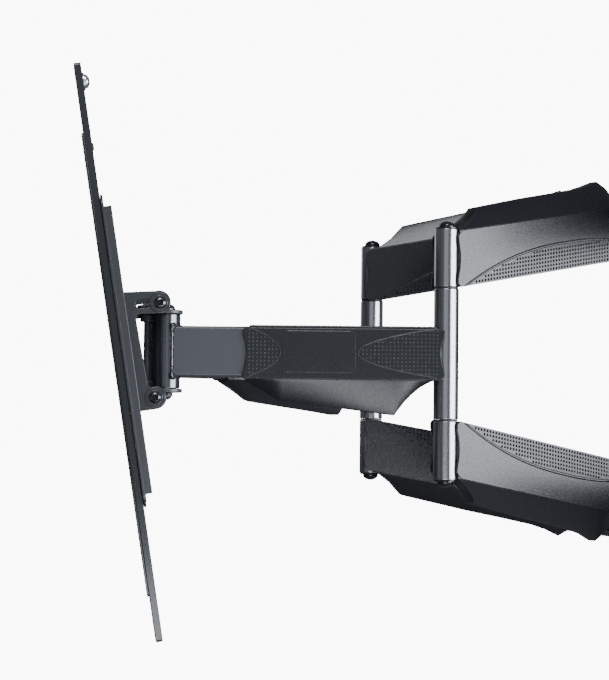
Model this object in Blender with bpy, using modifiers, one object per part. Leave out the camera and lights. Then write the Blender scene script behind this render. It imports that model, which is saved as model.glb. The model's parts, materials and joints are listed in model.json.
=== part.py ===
"""Full motion wall mount for a television: two folding arms, a swivelling head and a tilting screen plate.

Metres, +Z up. The origin is the centre of the wall plate's back face, the wall is the plane Y = 0 and the
mount reaches towards -Y. Right is +X, seen by someone who faces the screen side.
"""

import math

import bmesh
import bpy
from mathutils import Matrix

# ---- driving dimensions --------------------------------------------------------------------------------
ARM_LENGTH = 0.280  # between pivot axes, seen from above, the same for all four arms
PIVOT_X = 0.018  # half the distance between the two pivots at the wall and at the head
WALL_PIVOT_Y = -0.045
ARM_SPREAD = math.radians(18.5)  # angle of each arm to the wall's normal, as built
HEAD_SWIVEL = math.radians(-12.2)
HEAD_TILT = math.radians(8.9)

TUBE_WIDTH = 0.0244
TUBE_HEIGHT = 0.050
TUBE_WALL = 0.0020
REAR_ARM_Z = 0.0943  # middle of the upper rear arm at the elbow
ARM_RISE = 0.1790  # rise of that arm per metre towards the wall
GAP = 0.0003  # between faces that touch
RUNNING = 0.0003  # radial play of a shaft in its bore

POST_RADIUS = 0.0125
POST_TOP = 0.1253
POST_SEAM = 0.0653  # top of the forearm's tube in the elbow post
KNUCKLE_RADIUS = 0.0135
WALL_KNUCKLE_HALF = 0.030
HEAD_KNUCKLE_HALF = 0.037
BORE_RADIUS = 0.0066
SHAFT_RADIUS = BORE_RADIUS - RUNNING
SEAM = 0.0018  # between the knuckles that share a pivot, for their washers

COVER_HALF = 0.015  # half the width of the arm covers
CREST_HALF = 0.011  # half the width of the cable channel on them
COVER_LIP = 0.0031  # cover past the tube, above and below

PLATE_WIDTH = 0.480
PLATE_HEIGHT = 0.400
PLATE_STEEL = 0.003
STUD_SPACING = 0.4064
BRACKET_STEEL = 0.004

YOKE_STEEL = 0.004
SWIVEL_FORWARD = 0.0155  # swivel pin in front of the head pivots
PIN_RADIUS = 0.0042
TILT_BACK = 0.0073  # tilt axis behind the swivel pin
TILT_Z = -0.0467
LOCK_BOLT = (0.0110, 0.0467)  # clamp bolt in the swivel head, y and z
EAR_X = 0.0395  # inner face of the swivel head's ears
EAR_STEEL = 0.0032
SIDE_STEEL = 0.0030
BOLT_RADIUS = 0.0040

SCREEN_BACK = -0.020  # back of the head plate, from the tilt axis
SCREEN_MIDDLE = 0.0445  # middle of the screen plates above the tilt axis
SHEET = 0.0022
HEAD_PLATE = (0.104, 0.142)
CARRIER_PLATE = (0.130, 0.288)
SCREEN_PLATE = (0.440, 0.282)
FLANGE_DEPTH = 0.0085  # of the screen plate's side flanges, which point to the wall
RAIL_X = 0.200
RAIL_LENGTH = 0.520
RAIL_WIDTH = 0.030
RAIL_DEPTH = 0.0067
RAIL_BOLT_Z = 0.125
SCREEN_SCREWS_Z = (0.2452, -0.0548)
SCREW_HOLE = 0.0033  # radius of the holes for the small screws

ROUND = 20  # sides of a tube or a bore
SMALL_ROUND = 12  # sides of a bolt
PLATE_PLANE = Matrix.Rotation(math.pi / 2, 4, "X")  # an outline's x, y become X, Z
SIDE_PLANE = Matrix(((0, 0, 1, 0), (1, 0, 0, 0), (0, 1, 0, 0), (0, 0, 0, 1)))  # x, y become Y, Z

for old in list(bpy.data.objects):
    bpy.data.objects.remove(old)
mount = bpy.data.collections.new("full_motion_wall_mount")
cutters = bpy.data.collections.new("cutters")
cutters.hide_render = True
for collection in (mount, cutters):
    bpy.context.scene.collection.children.link(collection)


# ---- materials -----------------------------------------------------------------------------------------
def material(name, colour, roughness, metallic):
    made = bpy.data.materials.new(name)
    made.use_nodes = True
    shader = made.node_tree.nodes["Principled BSDF"]
    shader.inputs["Base Color"].default_value = (*colour, 1)
    shader.inputs["Roughness"].default_value = roughness
    shader.inputs["Metallic"].default_value = metallic
    return made


FINISHES = {
    "black_steel": ((0.045, 0.047, 0.052), 0.38, 0.0),
    "grey_steel": ((0.090, 0.093, 0.100), 0.35, 0.0),
    "gloss_steel": ((0.030, 0.032, 0.036), 0.18, 0.0),
    "black_plastic": ((0.030, 0.032, 0.036), 0.50, 0.0),
    "black_oxide": ((0.060, 0.060, 0.064), 0.30, 0.9),
    "zinc": ((0.620, 0.630, 0.640), 0.28, 1.0),
}


# ---- outlines, all as lists of (x, y) ------------------------------------------------------------------
def polar(centre, radius, angle):
    """The point at a radius and an angle in degrees from a centre."""
    turn = math.radians(angle)
    return centre[0] + radius * math.cos(turn), centre[1] + radius * math.sin(turn)


def arc(centre, radius, start, end, steps):
    """Points along an arc, with its angles in degrees."""
    return [polar(centre, radius, start + (end - start) * i / steps) for i in range(steps + 1)]


def circle(centre, radius, sides=ROUND):
    return arc(centre, radius, 0, 360, sides)[:-1]


def rounded_box(centre, width, height, radius):
    x, y = width / 2 - radius, height / 2 - radius
    corners = ((x, y, 0), (-x, y, 90), (-x, -y, 180), (x, -y, 270))
    return [
        point
        for dx, dy, start in corners
        for point in arc((centre[0] + dx, centre[1] + dy), radius, start, start + 90, 3)
    ]


def slot(centre, length, width, direction=0):
    """A slot with round ends, along the given direction in degrees."""
    reach = (length - width) / 2
    return [
        point
        for end in (direction, direction + 180)
        for point in arc(polar(centre, reach, end), width / 2, end - 90, end + 90, 6)
    ]


def sloped_band(start, end, low, high, rise):
    """A band from x = start to end between two heights that change by rise per metre."""
    return [
        (start, low + rise * start),
        (end, low + rise * end),
        (end, high + rise * end),
        (start, high + rise * start),
    ]


# ---- meshes --------------------------------------------------------------------------------------------
def evaluated(source):
    """The welded mesh of a temporary object, which is removed."""
    bpy.context.scene.collection.objects.link(source)
    graph = bpy.context.evaluated_depsgraph_get()
    mesh = bpy.data.meshes.new_from_object(source.evaluated_get(graph))
    bpy.data.objects.remove(source)
    shape = bmesh.new()
    shape.from_mesh(mesh)
    bmesh.ops.remove_doubles(shape, verts=shape.verts, dist=1e-6)
    bmesh.ops.recalc_face_normals(shape, faces=shape.faces)
    shape.to_mesh(mesh)
    shape.free()
    return mesh


def prism(outline, thickness, holes=()):
    """A flat outline with holes, as thick as stated, about z = 0."""
    curve = bpy.data.curves.new("outline", "CURVE")
    curve.dimensions = "2D"
    curve.fill_mode = "BOTH"
    curve.extrude = thickness / 2
    for loop in (outline, *holes):
        spline = curve.splines.new("POLY")
        spline.points.add(len(loop) - 1)
        for point, (x, y) in zip(spline.points, loop):
            point.co = (x, y, 0, 1)
        spline.use_cyclic_u = True
    return evaluated(bpy.data.objects.new("outline", curve))


def block(width, depth, height):
    x, y = width / 2, depth / 2
    return prism([(-x, -y), (x, -y), (x, y), (-x, y)], height)


def cylinder(radius, length, sides=ROUND):
    shape = bmesh.new()
    bmesh.ops.create_cone(
        shape, cap_ends=True, segments=sides, radius1=radius, radius2=radius, depth=length
    )
    mesh = bpy.data.meshes.new("cylinder")
    shape.to_mesh(mesh)
    shape.free()
    return mesh


def ring(outer, inner, thickness):
    return prism(circle((0, 0), outer), thickness, [circle((0, 0), inner)])


def turned(profile, sides=SMALL_ROUND):
    """A solid of revolution about Z from its (radius, height) profile, which starts and ends on the axis."""
    mesh = bpy.data.meshes.new("profile")
    edges = [(i, i + 1) for i in range(len(profile) - 1)]
    mesh.from_pydata([(radius, 0, height) for radius, height in profile], edges, [])
    source = bpy.data.objects.new("profile", mesh)
    screw = source.modifiers.new("turn", "SCREW")
    screw.steps = screw.render_steps = sides
    screw.use_merge_vertices = True
    screw.merge_threshold = 1e-5
    return evaluated(source)


def bolt(head, shank_radius, grip, nut, washer=None):
    """A button-head bolt with its nut, and with a washer under its head where one is given.

    head, nut and washer are (radius, height). What the bolt clamps lies between z = 0 and z = -grip.
    """
    under = washer[1] if washer else 0
    top = under + head[1]
    flange = [(washer[0], under), (washer[0], 0)] if washer else []
    return turned([
        (0, top), (head[0] * 0.55, top - head[1] * 0.07), (head[0] * 0.88, top - head[1] * 0.45),
        (head[0], under), *flange, (shank_radius, 0), (shank_radius, -grip), (nut[0], -grip),
        (nut[0], -grip - nut[1]), (0, -grip - nut[1]),
    ])


# ---- objects -------------------------------------------------------------------------------------------
def frame(name, parent=None, place=(0, 0, 0), turn=0.0, tilt=0.0):
    """An empty on a joint's axis."""
    empty = bpy.data.objects.new(name, None)
    mount.objects.link(empty)
    empty.parent = parent
    empty.location = place
    empty.rotation_euler = (tilt, 0, turn)
    return empty


def piece(name, finish, parent, shapes):
    """One named object made of (mesh, matrix) shapes that stay clear of each other."""
    joined = bmesh.new()
    for mesh, matrix in shapes:
        part = mesh.copy()
        part.transform(matrix)
        joined.from_mesh(part)
        bpy.data.meshes.remove(part)
    mesh = bpy.data.meshes.new(name)
    joined.to_mesh(mesh)
    joined.free()
    made = bpy.data.objects.new(name, mesh)
    made.parent = parent
    mount.objects.link(made)
    mesh.materials.append(material(name, *FINISHES[finish]))
    mesh.shade_smooth()
    mesh.set_sharp_from_angle(angle=math.radians(35))
    return made


def pieces(name, finish, parent, mesh, places):
    """One object for each place, {label: matrix}, all of the same shape."""
    for label, matrix in places.items():
        piece(f"{name}_{label}", finish, parent, [(mesh, matrix)])


def combine(target, operation, shapes, solver="EXACT"):
    """Joins or cuts shapes that lie in the target's own frame."""
    for index, (mesh, matrix) in enumerate(shapes):
        tool = bpy.data.objects.new(f"{target.name}_{operation.lower()}_{index}", mesh)
        mesh.transform(matrix)
        tool.parent = target.parent
        tool.hide_render = True
        tool.display_type = "WIRE"
        cutters.objects.link(tool)
        boolean = target.modifiers.new(tool.name, "BOOLEAN")
        boolean.operation = operation
        boolean.object = tool
        boolean.solver = solver


def at(x=0.0, y=0.0, z=0.0):
    return Matrix.Translation((x, y, z))


ELBOW_Y = WALL_PIVOT_Y - ARM_LENGTH * math.cos(ARM_SPREAD)
ELBOW_X = PIVOT_X + ARM_LENGTH * math.sin(ARM_SPREAD)
HEAD_Y = WALL_PIVOT_Y - 2 * ARM_LENGTH * math.cos(ARM_SPREAD)
WALL_KNUCKLE_Z = REAR_ARM_Z + ARM_RISE * ARM_LENGTH
LEVELS = (("upper", 1), ("lower", -1))
SIDES = (("right", 1), ("left", -1))


# ---- wall plate and its brackets -----------------------------------------------------------------------
LAG_Z = 0.165
LAG_SLOT = (0.044, 0.009)
BAR_INNER = 0.132  # the plate's two level bars reach from here to its top and bottom edges
COLUMN_HALF = 0.080  # half the width of the upright part between the bars
PLATE_CORNER = 0.010
BRACKET_HALF = 0.060
BRACKET_BOLT_X = 0.048
BRACKET_BOLT_DZ = 0.028
BRACKET_HEIGHT = 0.082
BRACKET_EAR_HALF = 0.033  # half the ears' width at the wall
BRACKET_EAR_RADIUS = 0.015
LIP_DEPTH = 0.014
LIP_END = 0.015  # the plate's edge lips stop this far from its corners
EAR_INNER = WALL_KNUCKLE_HALF + SEAM  # inner face of an ear from the knuckle's middle

wall = frame("wall")
lag_places = [(x, z) for x in (-STUD_SPACING / 2, STUD_SPACING / 2) for z in (-LAG_Z, LAG_Z)]
bracket_bolts = [
    (x, level * WALL_KNUCKLE_Z + dz)
    for _, level in LEVELS
    for x in (-BRACKET_BOLT_X, BRACKET_BOLT_X)
    for dz in (-BRACKET_BOLT_DZ, BRACKET_BOLT_DZ)
]
plate_holes = [slot(place, *LAG_SLOT) for place in lag_places]
plate_holes += [circle(place, SCREW_HOLE, SMALL_ROUND) for place in bracket_bolts]
corner_x, corner_z = PLATE_WIDTH / 2 - PLATE_CORNER, PLATE_HEIGHT / 2 - PLATE_CORNER
upper_right = (
    arc((COLUMN_HALF + PLATE_CORNER, BAR_INNER - PLATE_CORNER), PLATE_CORNER, 180, 90, 3)
    + arc((corner_x, BAR_INNER + PLATE_CORNER), PLATE_CORNER, -90, 0, 3)
    + arc((corner_x, corner_z), PLATE_CORNER, 0, 90, 3)
)
upper_half = upper_right + [(-x, z) for x, z in reversed(upper_right)]
plate_outline = upper_half + [(-x, -z) for x, z in upper_half]
wall_plate = piece("wall_plate", "black_steel", wall, [
    (prism(plate_outline, PLATE_STEEL, plate_holes), at(y=-PLATE_STEEL / 2) @ PLATE_PLANE),
])
lip_centre = (-0.001 - LIP_DEPTH / 2, (PLATE_HEIGHT - PLATE_STEEL) / 2 - 0.0005)
combine(wall_plate, "UNION", [
    (block(PLATE_WIDTH - 2 * LIP_END, LIP_DEPTH, PLATE_STEEL), at(y=lip_centre[0], z=level * lip_centre[1]))
    for _, level in LEVELS
], "MANIFOLD")

ear_root = -PLATE_STEEL - BRACKET_STEEL + 0.001  # the ears start inside the bracket's back
ear_outline = (
    [(BRACKET_EAR_HALF, ear_root), (-BRACKET_EAR_HALF, ear_root)]
    + arc((-PIVOT_X, WALL_PIVOT_Y), BRACKET_EAR_RADIUS, 180, 270, 6)
    + arc((PIVOT_X, WALL_PIVOT_Y), BRACKET_EAR_RADIUS, 270, 360, 6)
)
bracket_back = -PLATE_STEEL - GAP - BRACKET_STEEL / 2
for label, level in LEVELS:
    middle = level * WALL_KNUCKLE_Z
    bracket = piece(f"wall_bracket_{label}", "black_steel", wall, [
        (prism(rounded_box((0, middle), 2 * BRACKET_HALF, BRACKET_HEIGHT, 0.006), BRACKET_STEEL,
               [circle(place, SCREW_HOLE, SMALL_ROUND) for place in bracket_bolts if place[1] * level > 0]),
         at(y=bracket_back) @ PLATE_PLANE),
    ])
    ears = [level * WALL_KNUCKLE_Z + side * (EAR_INNER + BRACKET_STEEL / 2) for side in (-1, 1)]
    combine(bracket, "UNION", [(prism(ear_outline, BRACKET_STEEL), at(z=z)) for z in ears])
    combine(bracket, "DIFFERENCE", [
        (cylinder(BORE_RADIUS, 0.090), at(x, WALL_PIVOT_Y, middle)) for x in (-PIVOT_X, PIVOT_X)
    ])

pin_face = EAR_INNER + BRACKET_STEEL + GAP
pin = bolt(head=(0.0105, 0.006), shank_radius=SHAFT_RADIUS, grip=2 * pin_face, nut=(0.0095, 0.007))
pieces("wall_pivot_pin", "black_oxide", wall, pin, {
    f"{label}_{side_name}": at(side * PIVOT_X, WALL_PIVOT_Y, level * WALL_KNUCKLE_Z + pin_face)
    for label, level in LEVELS for side_name, side in SIDES
})
LAG_TOP = 0.0071  # head and washer
LAG_WASHER = 0.0016
LAG_GRIP = 0.0032
lag_screw = turned([
    (0, LAG_TOP), (0.0060, LAG_TOP), (0.0070, LAG_TOP - 0.001), (0.0070, LAG_WASHER), (0.0110, LAG_WASHER),
    (0.0110, 0), (0.0040, 0), (0.0040, -LAG_GRIP), (0, -LAG_GRIP),
])
pieces("lag_screw", "zinc", wall, lag_screw, {
    f"{label}_{side_name}": at(side * STUD_SPACING / 2, -PLATE_STEEL - GAP, level * LAG_Z) @ PLATE_PLANE
    for label, level in LEVELS for side_name, side in SIDES
})


# ---- arms ----------------------------------------------------------------------------------------------
# Each arm lies along its own +X from its pivot. Distances written "from the elbow" are turned into that X.
TUBE_END = 0.004  # the tube stops this far from a pivot axis
HALF_TUBE = TUBE_HEIGHT / 2 + 0.0004
CABLE_HOLE = (0.090, 0.005)  # distance from the elbow and radius of the hole in the tube's outer edge


def tube_arm(name, parent, middle, rise, knuckles, elbow_at):
    """A rectangular tube welded between two round knuckles: (x, z middle, half height, radius) each."""
    low, high = middle - HALF_TUBE, middle + HALF_TUBE
    tube = piece(name, "grey_steel", parent, [
        (prism(sloped_band(TUBE_END, ARM_LENGTH - TUBE_END, low, high, rise), TUBE_WIDTH), PLATE_PLANE),
    ])
    combine(tube, "UNION", [
        (cylinder(radius, 2 * half), at(x, 0, z)) for x, z, half, radius in knuckles
    ])
    hollow_end = KNUCKLE_RADIUS + TUBE_WALL
    hole_x = abs(elbow_at - CABLE_HOLE[0])
    hole_z = middle + rise * hole_x + math.copysign(HALF_TUBE, middle)
    combine(tube, "DIFFERENCE", [
        (prism(sloped_band(hollow_end, ARM_LENGTH - hollow_end, low + TUBE_WALL, high - TUBE_WALL, rise),
               TUBE_WIDTH - 2 * TUBE_WALL), PLATE_PLANE),
        *[(cylinder(BORE_RADIUS, 2 * half + 0.01), at(x, 0, z)) for x, z, half, _ in knuckles],
        (cylinder(CABLE_HOLE[1], 2 * HALF_TUBE, SMALL_ROUND), at(hole_x, 0, hole_z)),
    ])
    return tube


def from_elbow(points, level):
    """Points (distance from the elbow, z) of an upper rear arm, in its own x and z or its mirror image's."""
    return [(ARM_LENGTH - t, level * z) for t, z in points]


def inner_edge(t):
    return REAR_ARM_Z - HALF_TUBE - COVER_LIP + ARM_RISE * t


def fold(t):
    return REAR_ARM_Z + HALF_TUBE + COVER_LIP + ARM_RISE * t


REAR_COVER_END = 0.250  # from the elbow
rear_panel = [
    (0.002, inner_edge(0.002)), (0.0055, inner_edge(0) + 0.018), (0.006, inner_edge(0) + 0.040),
    (0.009, fold(0.009)), (REAR_COVER_END, fold(REAR_COVER_END)),
    (REAR_COVER_END, inner_edge(REAR_COVER_END)),
]
CREST = ((0.012, -0.004), (0.012, 0.0), (0.034, 0.0205), (0.105, 0.0238), (0.150, 0.0248), (0.178, 0.0262),
         (0.192, 0.0290), (0.206, 0.0338), (0.218, 0.0240), (0.238, 0.0040), (0.238, -0.004))
rear_crest = [(t, fold(t) + height) for t, height in CREST]

FOREARM_PANEL_HALF = 0.027
FOREARM_COVER_END = 0.203
FOREARM_COVER_START = 0.002
END_HOLLOW = 0.004  # depth of the cover's hollowed ends
forearm_panel = [
    (FOREARM_COVER_START, -FOREARM_PANEL_HALF), (FOREARM_COVER_END, -FOREARM_PANEL_HALF),
    (FOREARM_COVER_END - END_HOLLOW, 0), (FOREARM_COVER_END, FOREARM_PANEL_HALF),
    (FOREARM_COVER_START, FOREARM_PANEL_HALF), (FOREARM_COVER_START + END_HOLLOW, 0),
]
BELLY_TOP = -FOREARM_PANEL_HALF - GAP
forearm_belly = [
    (0.0135, BELLY_TOP), (0.0267, -0.0343), (0.041, -0.0475), (0.0517, -0.0622), (0.080, -0.0585),
    (0.135, -0.0522), (0.165, -0.0480), (0.190, -0.0375), (FOREARM_COVER_END, -0.0300),
    (FOREARM_COVER_END, BELLY_TOP),
]


def clear_tube(cover, middle, rise, elbow_at):
    """Opens a cover for its tube and for the elbow post."""
    low, high = middle - HALF_TUBE - GAP, middle + HALF_TUBE + GAP
    past, tall = 0.020, 4 * POST_TOP  # the cutters pass through the cover's ends
    combine(cover, "DIFFERENCE", [
        (prism(sloped_band(-past, ARM_LENGTH + past, low, high, rise), TUBE_WIDTH + 2 * GAP), PLATE_PLANE),
        (cylinder(POST_RADIUS + GAP, tall), at(elbow_at)),
    ])


cap = turned([(0, 0.0080), (0.0040, 0.0076), (0.0066, 0.0060), (0.0080, 0.0030), (0.0080, 0.0015),
              (0.0112, 0.0015), (0.0118, 0), (0, 0)], 16)

for side_name, side in SIDES:
    shoulder = frame(f"shoulder_{side_name}", None, (side * PIVOT_X, WALL_PIVOT_Y, 0),
                     -math.pi / 2 + side * ARM_SPREAD)
    elbow = frame(f"elbow_{side_name}", None, (side * ELBOW_X, ELBOW_Y, 0), -math.pi / 2 - side * ARM_SPREAD)
    post_low = POST_SEAM + SEAM
    post_middle, post_half = (POST_TOP + post_low) / 2, (POST_TOP - post_low) / 2
    for label, level in LEVELS:
        rise = -level * ARM_RISE
        middle = level * WALL_KNUCKLE_Z
        tube_arm(f"rear_arm_{label}_{side_name}", shoulder, middle, rise, (
            (0, middle, WALL_KNUCKLE_HALF, KNUCKLE_RADIUS),
            (ARM_LENGTH, level * post_middle, post_half, POST_RADIUS),
        ), ARM_LENGTH)
        cover = piece(f"rear_cover_{label}_{side_name}", "black_plastic", shoulder, [
            (prism(from_elbow(rear_panel, level), 2 * COVER_HALF), PLATE_PLANE),
        ])
        combine(cover, "UNION", [(prism(from_elbow(rear_crest, level), 2 * CREST_HALF), PLATE_PLANE)])
        clear_tube(cover, middle, rise, ARM_LENGTH)
    piece(f"elbow_shaft_{side_name}", "black_oxide", shoulder, [
        (cylinder(SHAFT_RADIUS, 2 * POST_TOP), at(ARM_LENGTH)),
    ])
    for label, level in LEVELS:
        upright = Matrix.Rotation(0 if level > 0 else math.pi, 4, "X")
        piece(f"elbow_cap_{label}_{side_name}", "gloss_steel", shoulder, [
            (cap, at(ARM_LENGTH, 0, level * (POST_TOP + GAP)) @ upright),
        ])

    tube_arm(f"forearm_{side_name}", elbow, 0.0, 0.0, (
        (0, 0, POST_SEAM, POST_RADIUS), (ARM_LENGTH, 0, HEAD_KNUCKLE_HALF, KNUCKLE_RADIUS),
    ), 0.0)
    cover = piece(f"forearm_cover_{side_name}", "black_plastic", elbow, [
        (prism(forearm_panel, 2 * COVER_HALF), PLATE_PLANE),
    ])
    clear_tube(cover, 0.0, 0.0, 0.0)
    piece(f"forearm_cable_cover_{side_name}", "black_plastic", elbow, [
        (prism(forearm_belly, 2 * CREST_HALF), PLATE_PLANE),
    ])


# ---- yoke that joins the two arms at the head ----------------------------------------------------------
YOKE_Z = HEAD_KNUCKLE_HALF + GAP + YOKE_STEEL / 2
YOKE_RADIUS = 0.016  # about each head pivot
YOKE_NOSE = 0.0115  # radius about the swivel pin
yoke = frame("yoke", None, (0, HEAD_Y, 0))
yoke_outline = (
    arc((PIVOT_X, 0), YOKE_RADIUS, -30, 90, 8)
    + arc((-PIVOT_X, 0), YOKE_RADIUS, 90, 210, 8)
    + arc((0, -SWIVEL_FORWARD), YOKE_NOSE, 215, 325, 8)
)
yoke_holes = [circle((x, 0), BORE_RADIUS) for x in (-PIVOT_X, PIVOT_X)]
yoke_holes.append(circle((0, -SWIVEL_FORWARD), PIN_RADIUS + RUNNING))
for label, level in LEVELS:
    piece(f"yoke_plate_{label}", "grey_steel", yoke, [
        (prism(yoke_outline, YOKE_STEEL, yoke_holes), at(z=level * YOKE_Z)),
    ])
yoke_face = HEAD_KNUCKLE_HALF + GAP + YOKE_STEEL + GAP
yoke_bolt = bolt(head=(0.0082, 0.0065), shank_radius=SHAFT_RADIUS, grip=2 * yoke_face, nut=(0.0068, 0.0070))
pieces("head_pivot_bolt", "black_oxide", yoke, yoke_bolt, {
    side_name: at(side * PIVOT_X, 0, yoke_face) for side_name, side in SIDES
})
BUSHING = 0.0070
pieces("swivel_bushing", "grey_steel", yoke, ring(0.0075, PIN_RADIUS + RUNNING, BUSHING), {
    label: at(0, -SWIVEL_FORWARD, level * (HEAD_KNUCKLE_HALF - BUSHING / 2)) for label, level in LEVELS
})


# ---- swivel head ---------------------------------------------------------------------------------------
swivel = frame("swivel_head", None, (0, HEAD_Y - SWIVEL_FORWARD, 0), HEAD_SWIVEL)
HAT_STEEL = 0.0032
hat_z = yoke_face + HAT_STEEL / 2
EAR_OUT = EAR_X + EAR_STEEL
EAR_ROUND = 0.0100
HAT_FRONT = (0.030, -0.0110)  # front corner of the hat, x and y
HAT_CORNER = -0.0075  # front of the hat at its ears
HAT_BACK = -0.0005
HAT_BOSS = 0.0090  # radius of the hat about the swivel pin
hat_half = [HAT_FRONT, (EAR_OUT, HAT_CORNER), (EAR_OUT, HAT_BACK), (HAT_BOSS, HAT_BACK)]
hat_outline = hat_half + arc((0, 0), HAT_BOSS, 10, 170, 8) + [(-x, y) for x, y in reversed(hat_half)]
bolt_places = {"upper": LOCK_BOLT, "lower": (TILT_BACK, TILT_Z)}
for label, level in LEVELS:
    y, z = bolt_places[label]
    hat = piece(f"swivel_bracket_{label}", "black_steel", swivel, [
        (prism(hat_outline, HAT_STEEL, [circle((0, 0), PIN_RADIUS)]), at(z=level * hat_z)),
    ])
    low = level * (hat_z - 0.0005)
    ear = [(y + EAR_ROUND / 2, low), *arc((y, z), EAR_ROUND, 0, level * 180, 10), (HAT_CORNER, low)]
    combine(hat, "UNION", [
        (prism(ear, EAR_STEEL), at(side * (EAR_X + EAR_STEEL / 2)) @ SIDE_PLANE) for side in (-1, 1)
    ])
    combine(hat, "DIFFERENCE", [
        (cylinder(BOLT_RADIUS + RUNNING, 3 * EAR_OUT, 16), at(0, y, z) @ SIDE_PLANE)
    ])
pin_face = yoke_face + HAT_STEEL + GAP
piece("swivel_pin", "black_oxide", swivel, [
    (bolt(head=(0.0070, 0.0045), shank_radius=PIN_RADIUS - RUNNING, grip=2 * pin_face, nut=(0.0070, 0.0050)),
     at(z=pin_face)),
])
side_inner = EAR_OUT + GAP
side_outer = side_inner + SIDE_STEEL
bolt_face = side_outer + GAP
tilt_bolt = bolt(head=(0.0058, 0.0042), shank_radius=BOLT_RADIUS, grip=bolt_face - EAR_X + GAP,
                 nut=(0.0050, 0.0035), washer=(0.0100, 0.0012))
for node, (y, z) in (("tilt_pivot_bolt", bolt_places["lower"]), ("tilt_lock_bolt", bolt_places["upper"])):
    pieces(node, "black_oxide", swivel, tilt_bolt, {
        side_name: at(side * bolt_face, y, z) @ Matrix.Rotation(side * math.pi / 2, 4, "Y")
        for side_name, side in SIDES
    })


# ---- tilting screen plates -----------------------------------------------------------------------------
tilt = frame("tilt_head", swivel, (0, TILT_BACK, TILT_Z), 0.0, HEAD_TILT)
SLOT_RADIUS = math.hypot(LOCK_BOLT[0] - TILT_BACK, LOCK_BOLT[1] - TILT_Z)
SLOT_HALF = BOLT_RADIUS + 0.0006
SLOT_ENDS = (90.8, 78.0)  # the slot's two end centres, in degrees about the tilt axis
slot_start, slot_finish = (polar((0, 0), SLOT_RADIUS, angle) for angle in SLOT_ENDS)
slot_outline = (
    arc((0, 0), SLOT_RADIUS + SLOT_HALF, *SLOT_ENDS, 6)
    + arc(slot_finish, SLOT_HALF, SLOT_ENDS[1], SLOT_ENDS[1] - 180, 6)[1:-1]
    + arc((0, 0), SLOT_RADIUS - SLOT_HALF, *reversed(SLOT_ENDS), 6)
    + arc(slot_start, SLOT_HALF, SLOT_ENDS[0] + 180, SLOT_ENDS[0], 6)[1:-1]
)
BASE_Y = SCREEN_BACK + GAP
STRIP_Y = SCREEN_BACK + 0.0125  # back edge of the strip between the ears
LOWER_EAR = 0.0115  # radius about the tilt axis
UPPER_EAR = (0.0172, 0.0925, 0.0117)  # centre y, centre z and radius
side_outline = (
    [(BASE_Y, -LOWER_EAR)]
    + arc((0, 0), LOWER_EAR, -90, 70, 10)
    + [(STRIP_Y + 0.003, 0.0108), (STRIP_Y, 0.0135), (STRIP_Y, 0.0800), (STRIP_Y + 0.003, 0.0838)]
    + arc(UPPER_EAR[:2], UPPER_EAR[2], -80, 100, 12)
    + [(BASE_Y, 0.1062)]
)
for side_name, side in SIDES:
    piece(f"tilt_side_plate_{side_name}", "black_steel", tilt, [
        (prism(side_outline, SIDE_STEEL, [circle((0, 0), BOLT_RADIUS + RUNNING, 16), slot_outline]),
         at(side * (side_inner + SIDE_STEEL / 2)) @ SIDE_PLANE),
    ])

PLATE_SCREWS = [(x, SCREEN_MIDDLE + z) for x in (-0.030, 0.030) for z in (-0.0617, 0.0633)]
HEAD_WINDOW = rounded_box((0, 0.088), 0.078, 0.024, 0.004)
screw_holes = [circle(place, SCREW_HOLE, SMALL_ROUND) for place in PLATE_SCREWS]
SCREEN_WINDOWS = [rounded_box((x, SCREEN_MIDDLE), 0.120, 0.190, 0.012) for x in (-0.150, 0.150)]
rail_bolt_places = [(x, SCREEN_MIDDLE + z) for x in (-RAIL_X, RAIL_X) for z in (-RAIL_BOLT_Z, RAIL_BOLT_Z)]
rail_bolt_holes = [circle(place, SCREW_HOLE, SMALL_ROUND) for place in rail_bolt_places]
sheets = (
    ("head_plate", HEAD_PLATE, 0.008, [HEAD_WINDOW]),
    ("carrier_plate", CARRIER_PLATE, 0.010, []),
    ("screen_plate", SCREEN_PLATE, 0.012, SCREEN_WINDOWS + rail_bolt_holes),
)
sheet_y = SCREEN_BACK
for node, (width, height), corner, windows in sheets:
    sheet = piece(node, "black_steel", tilt, [
        (prism(rounded_box((0, SCREEN_MIDDLE), width, height, corner), SHEET, windows + screw_holes),
         at(y=sheet_y - SHEET / 2) @ PLATE_PLANE),
    ])
    if node == "screen_plate":
        combine(sheet, "UNION", [
            (block(SHEET, FLANGE_DEPTH, height - 2 * corner),
             at(side * (width - SHEET - GAP) / 2, sheet_y + FLANGE_DEPTH / 2 - SHEET + GAP, SCREEN_MIDDLE))
            for side in (-1, 1)
        ], "MANIFOLD")
    sheet_y -= SHEET + GAP
rail_back = sheet_y
RAIL_LIP = 0.0060
LIP_BACK = 0.0018 - RAIL_DEPTH  # back of the rail's two inturned lips
half = RAIL_WIDTH / 2
half_section = [
    (half, 0), (half, -RAIL_DEPTH), (half - RAIL_LIP, -RAIL_DEPTH), (half - RAIL_LIP, LIP_BACK),
    (half - SHEET, LIP_BACK), (half - SHEET, -SHEET),
]
rail_section = half_section + [(-x, y) for x, y in reversed(half_section)]
SLOT_ROWS = (-0.232, -0.200, -0.168, 0.168, 0.200)  # of the rails' slots, from their middle
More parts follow.
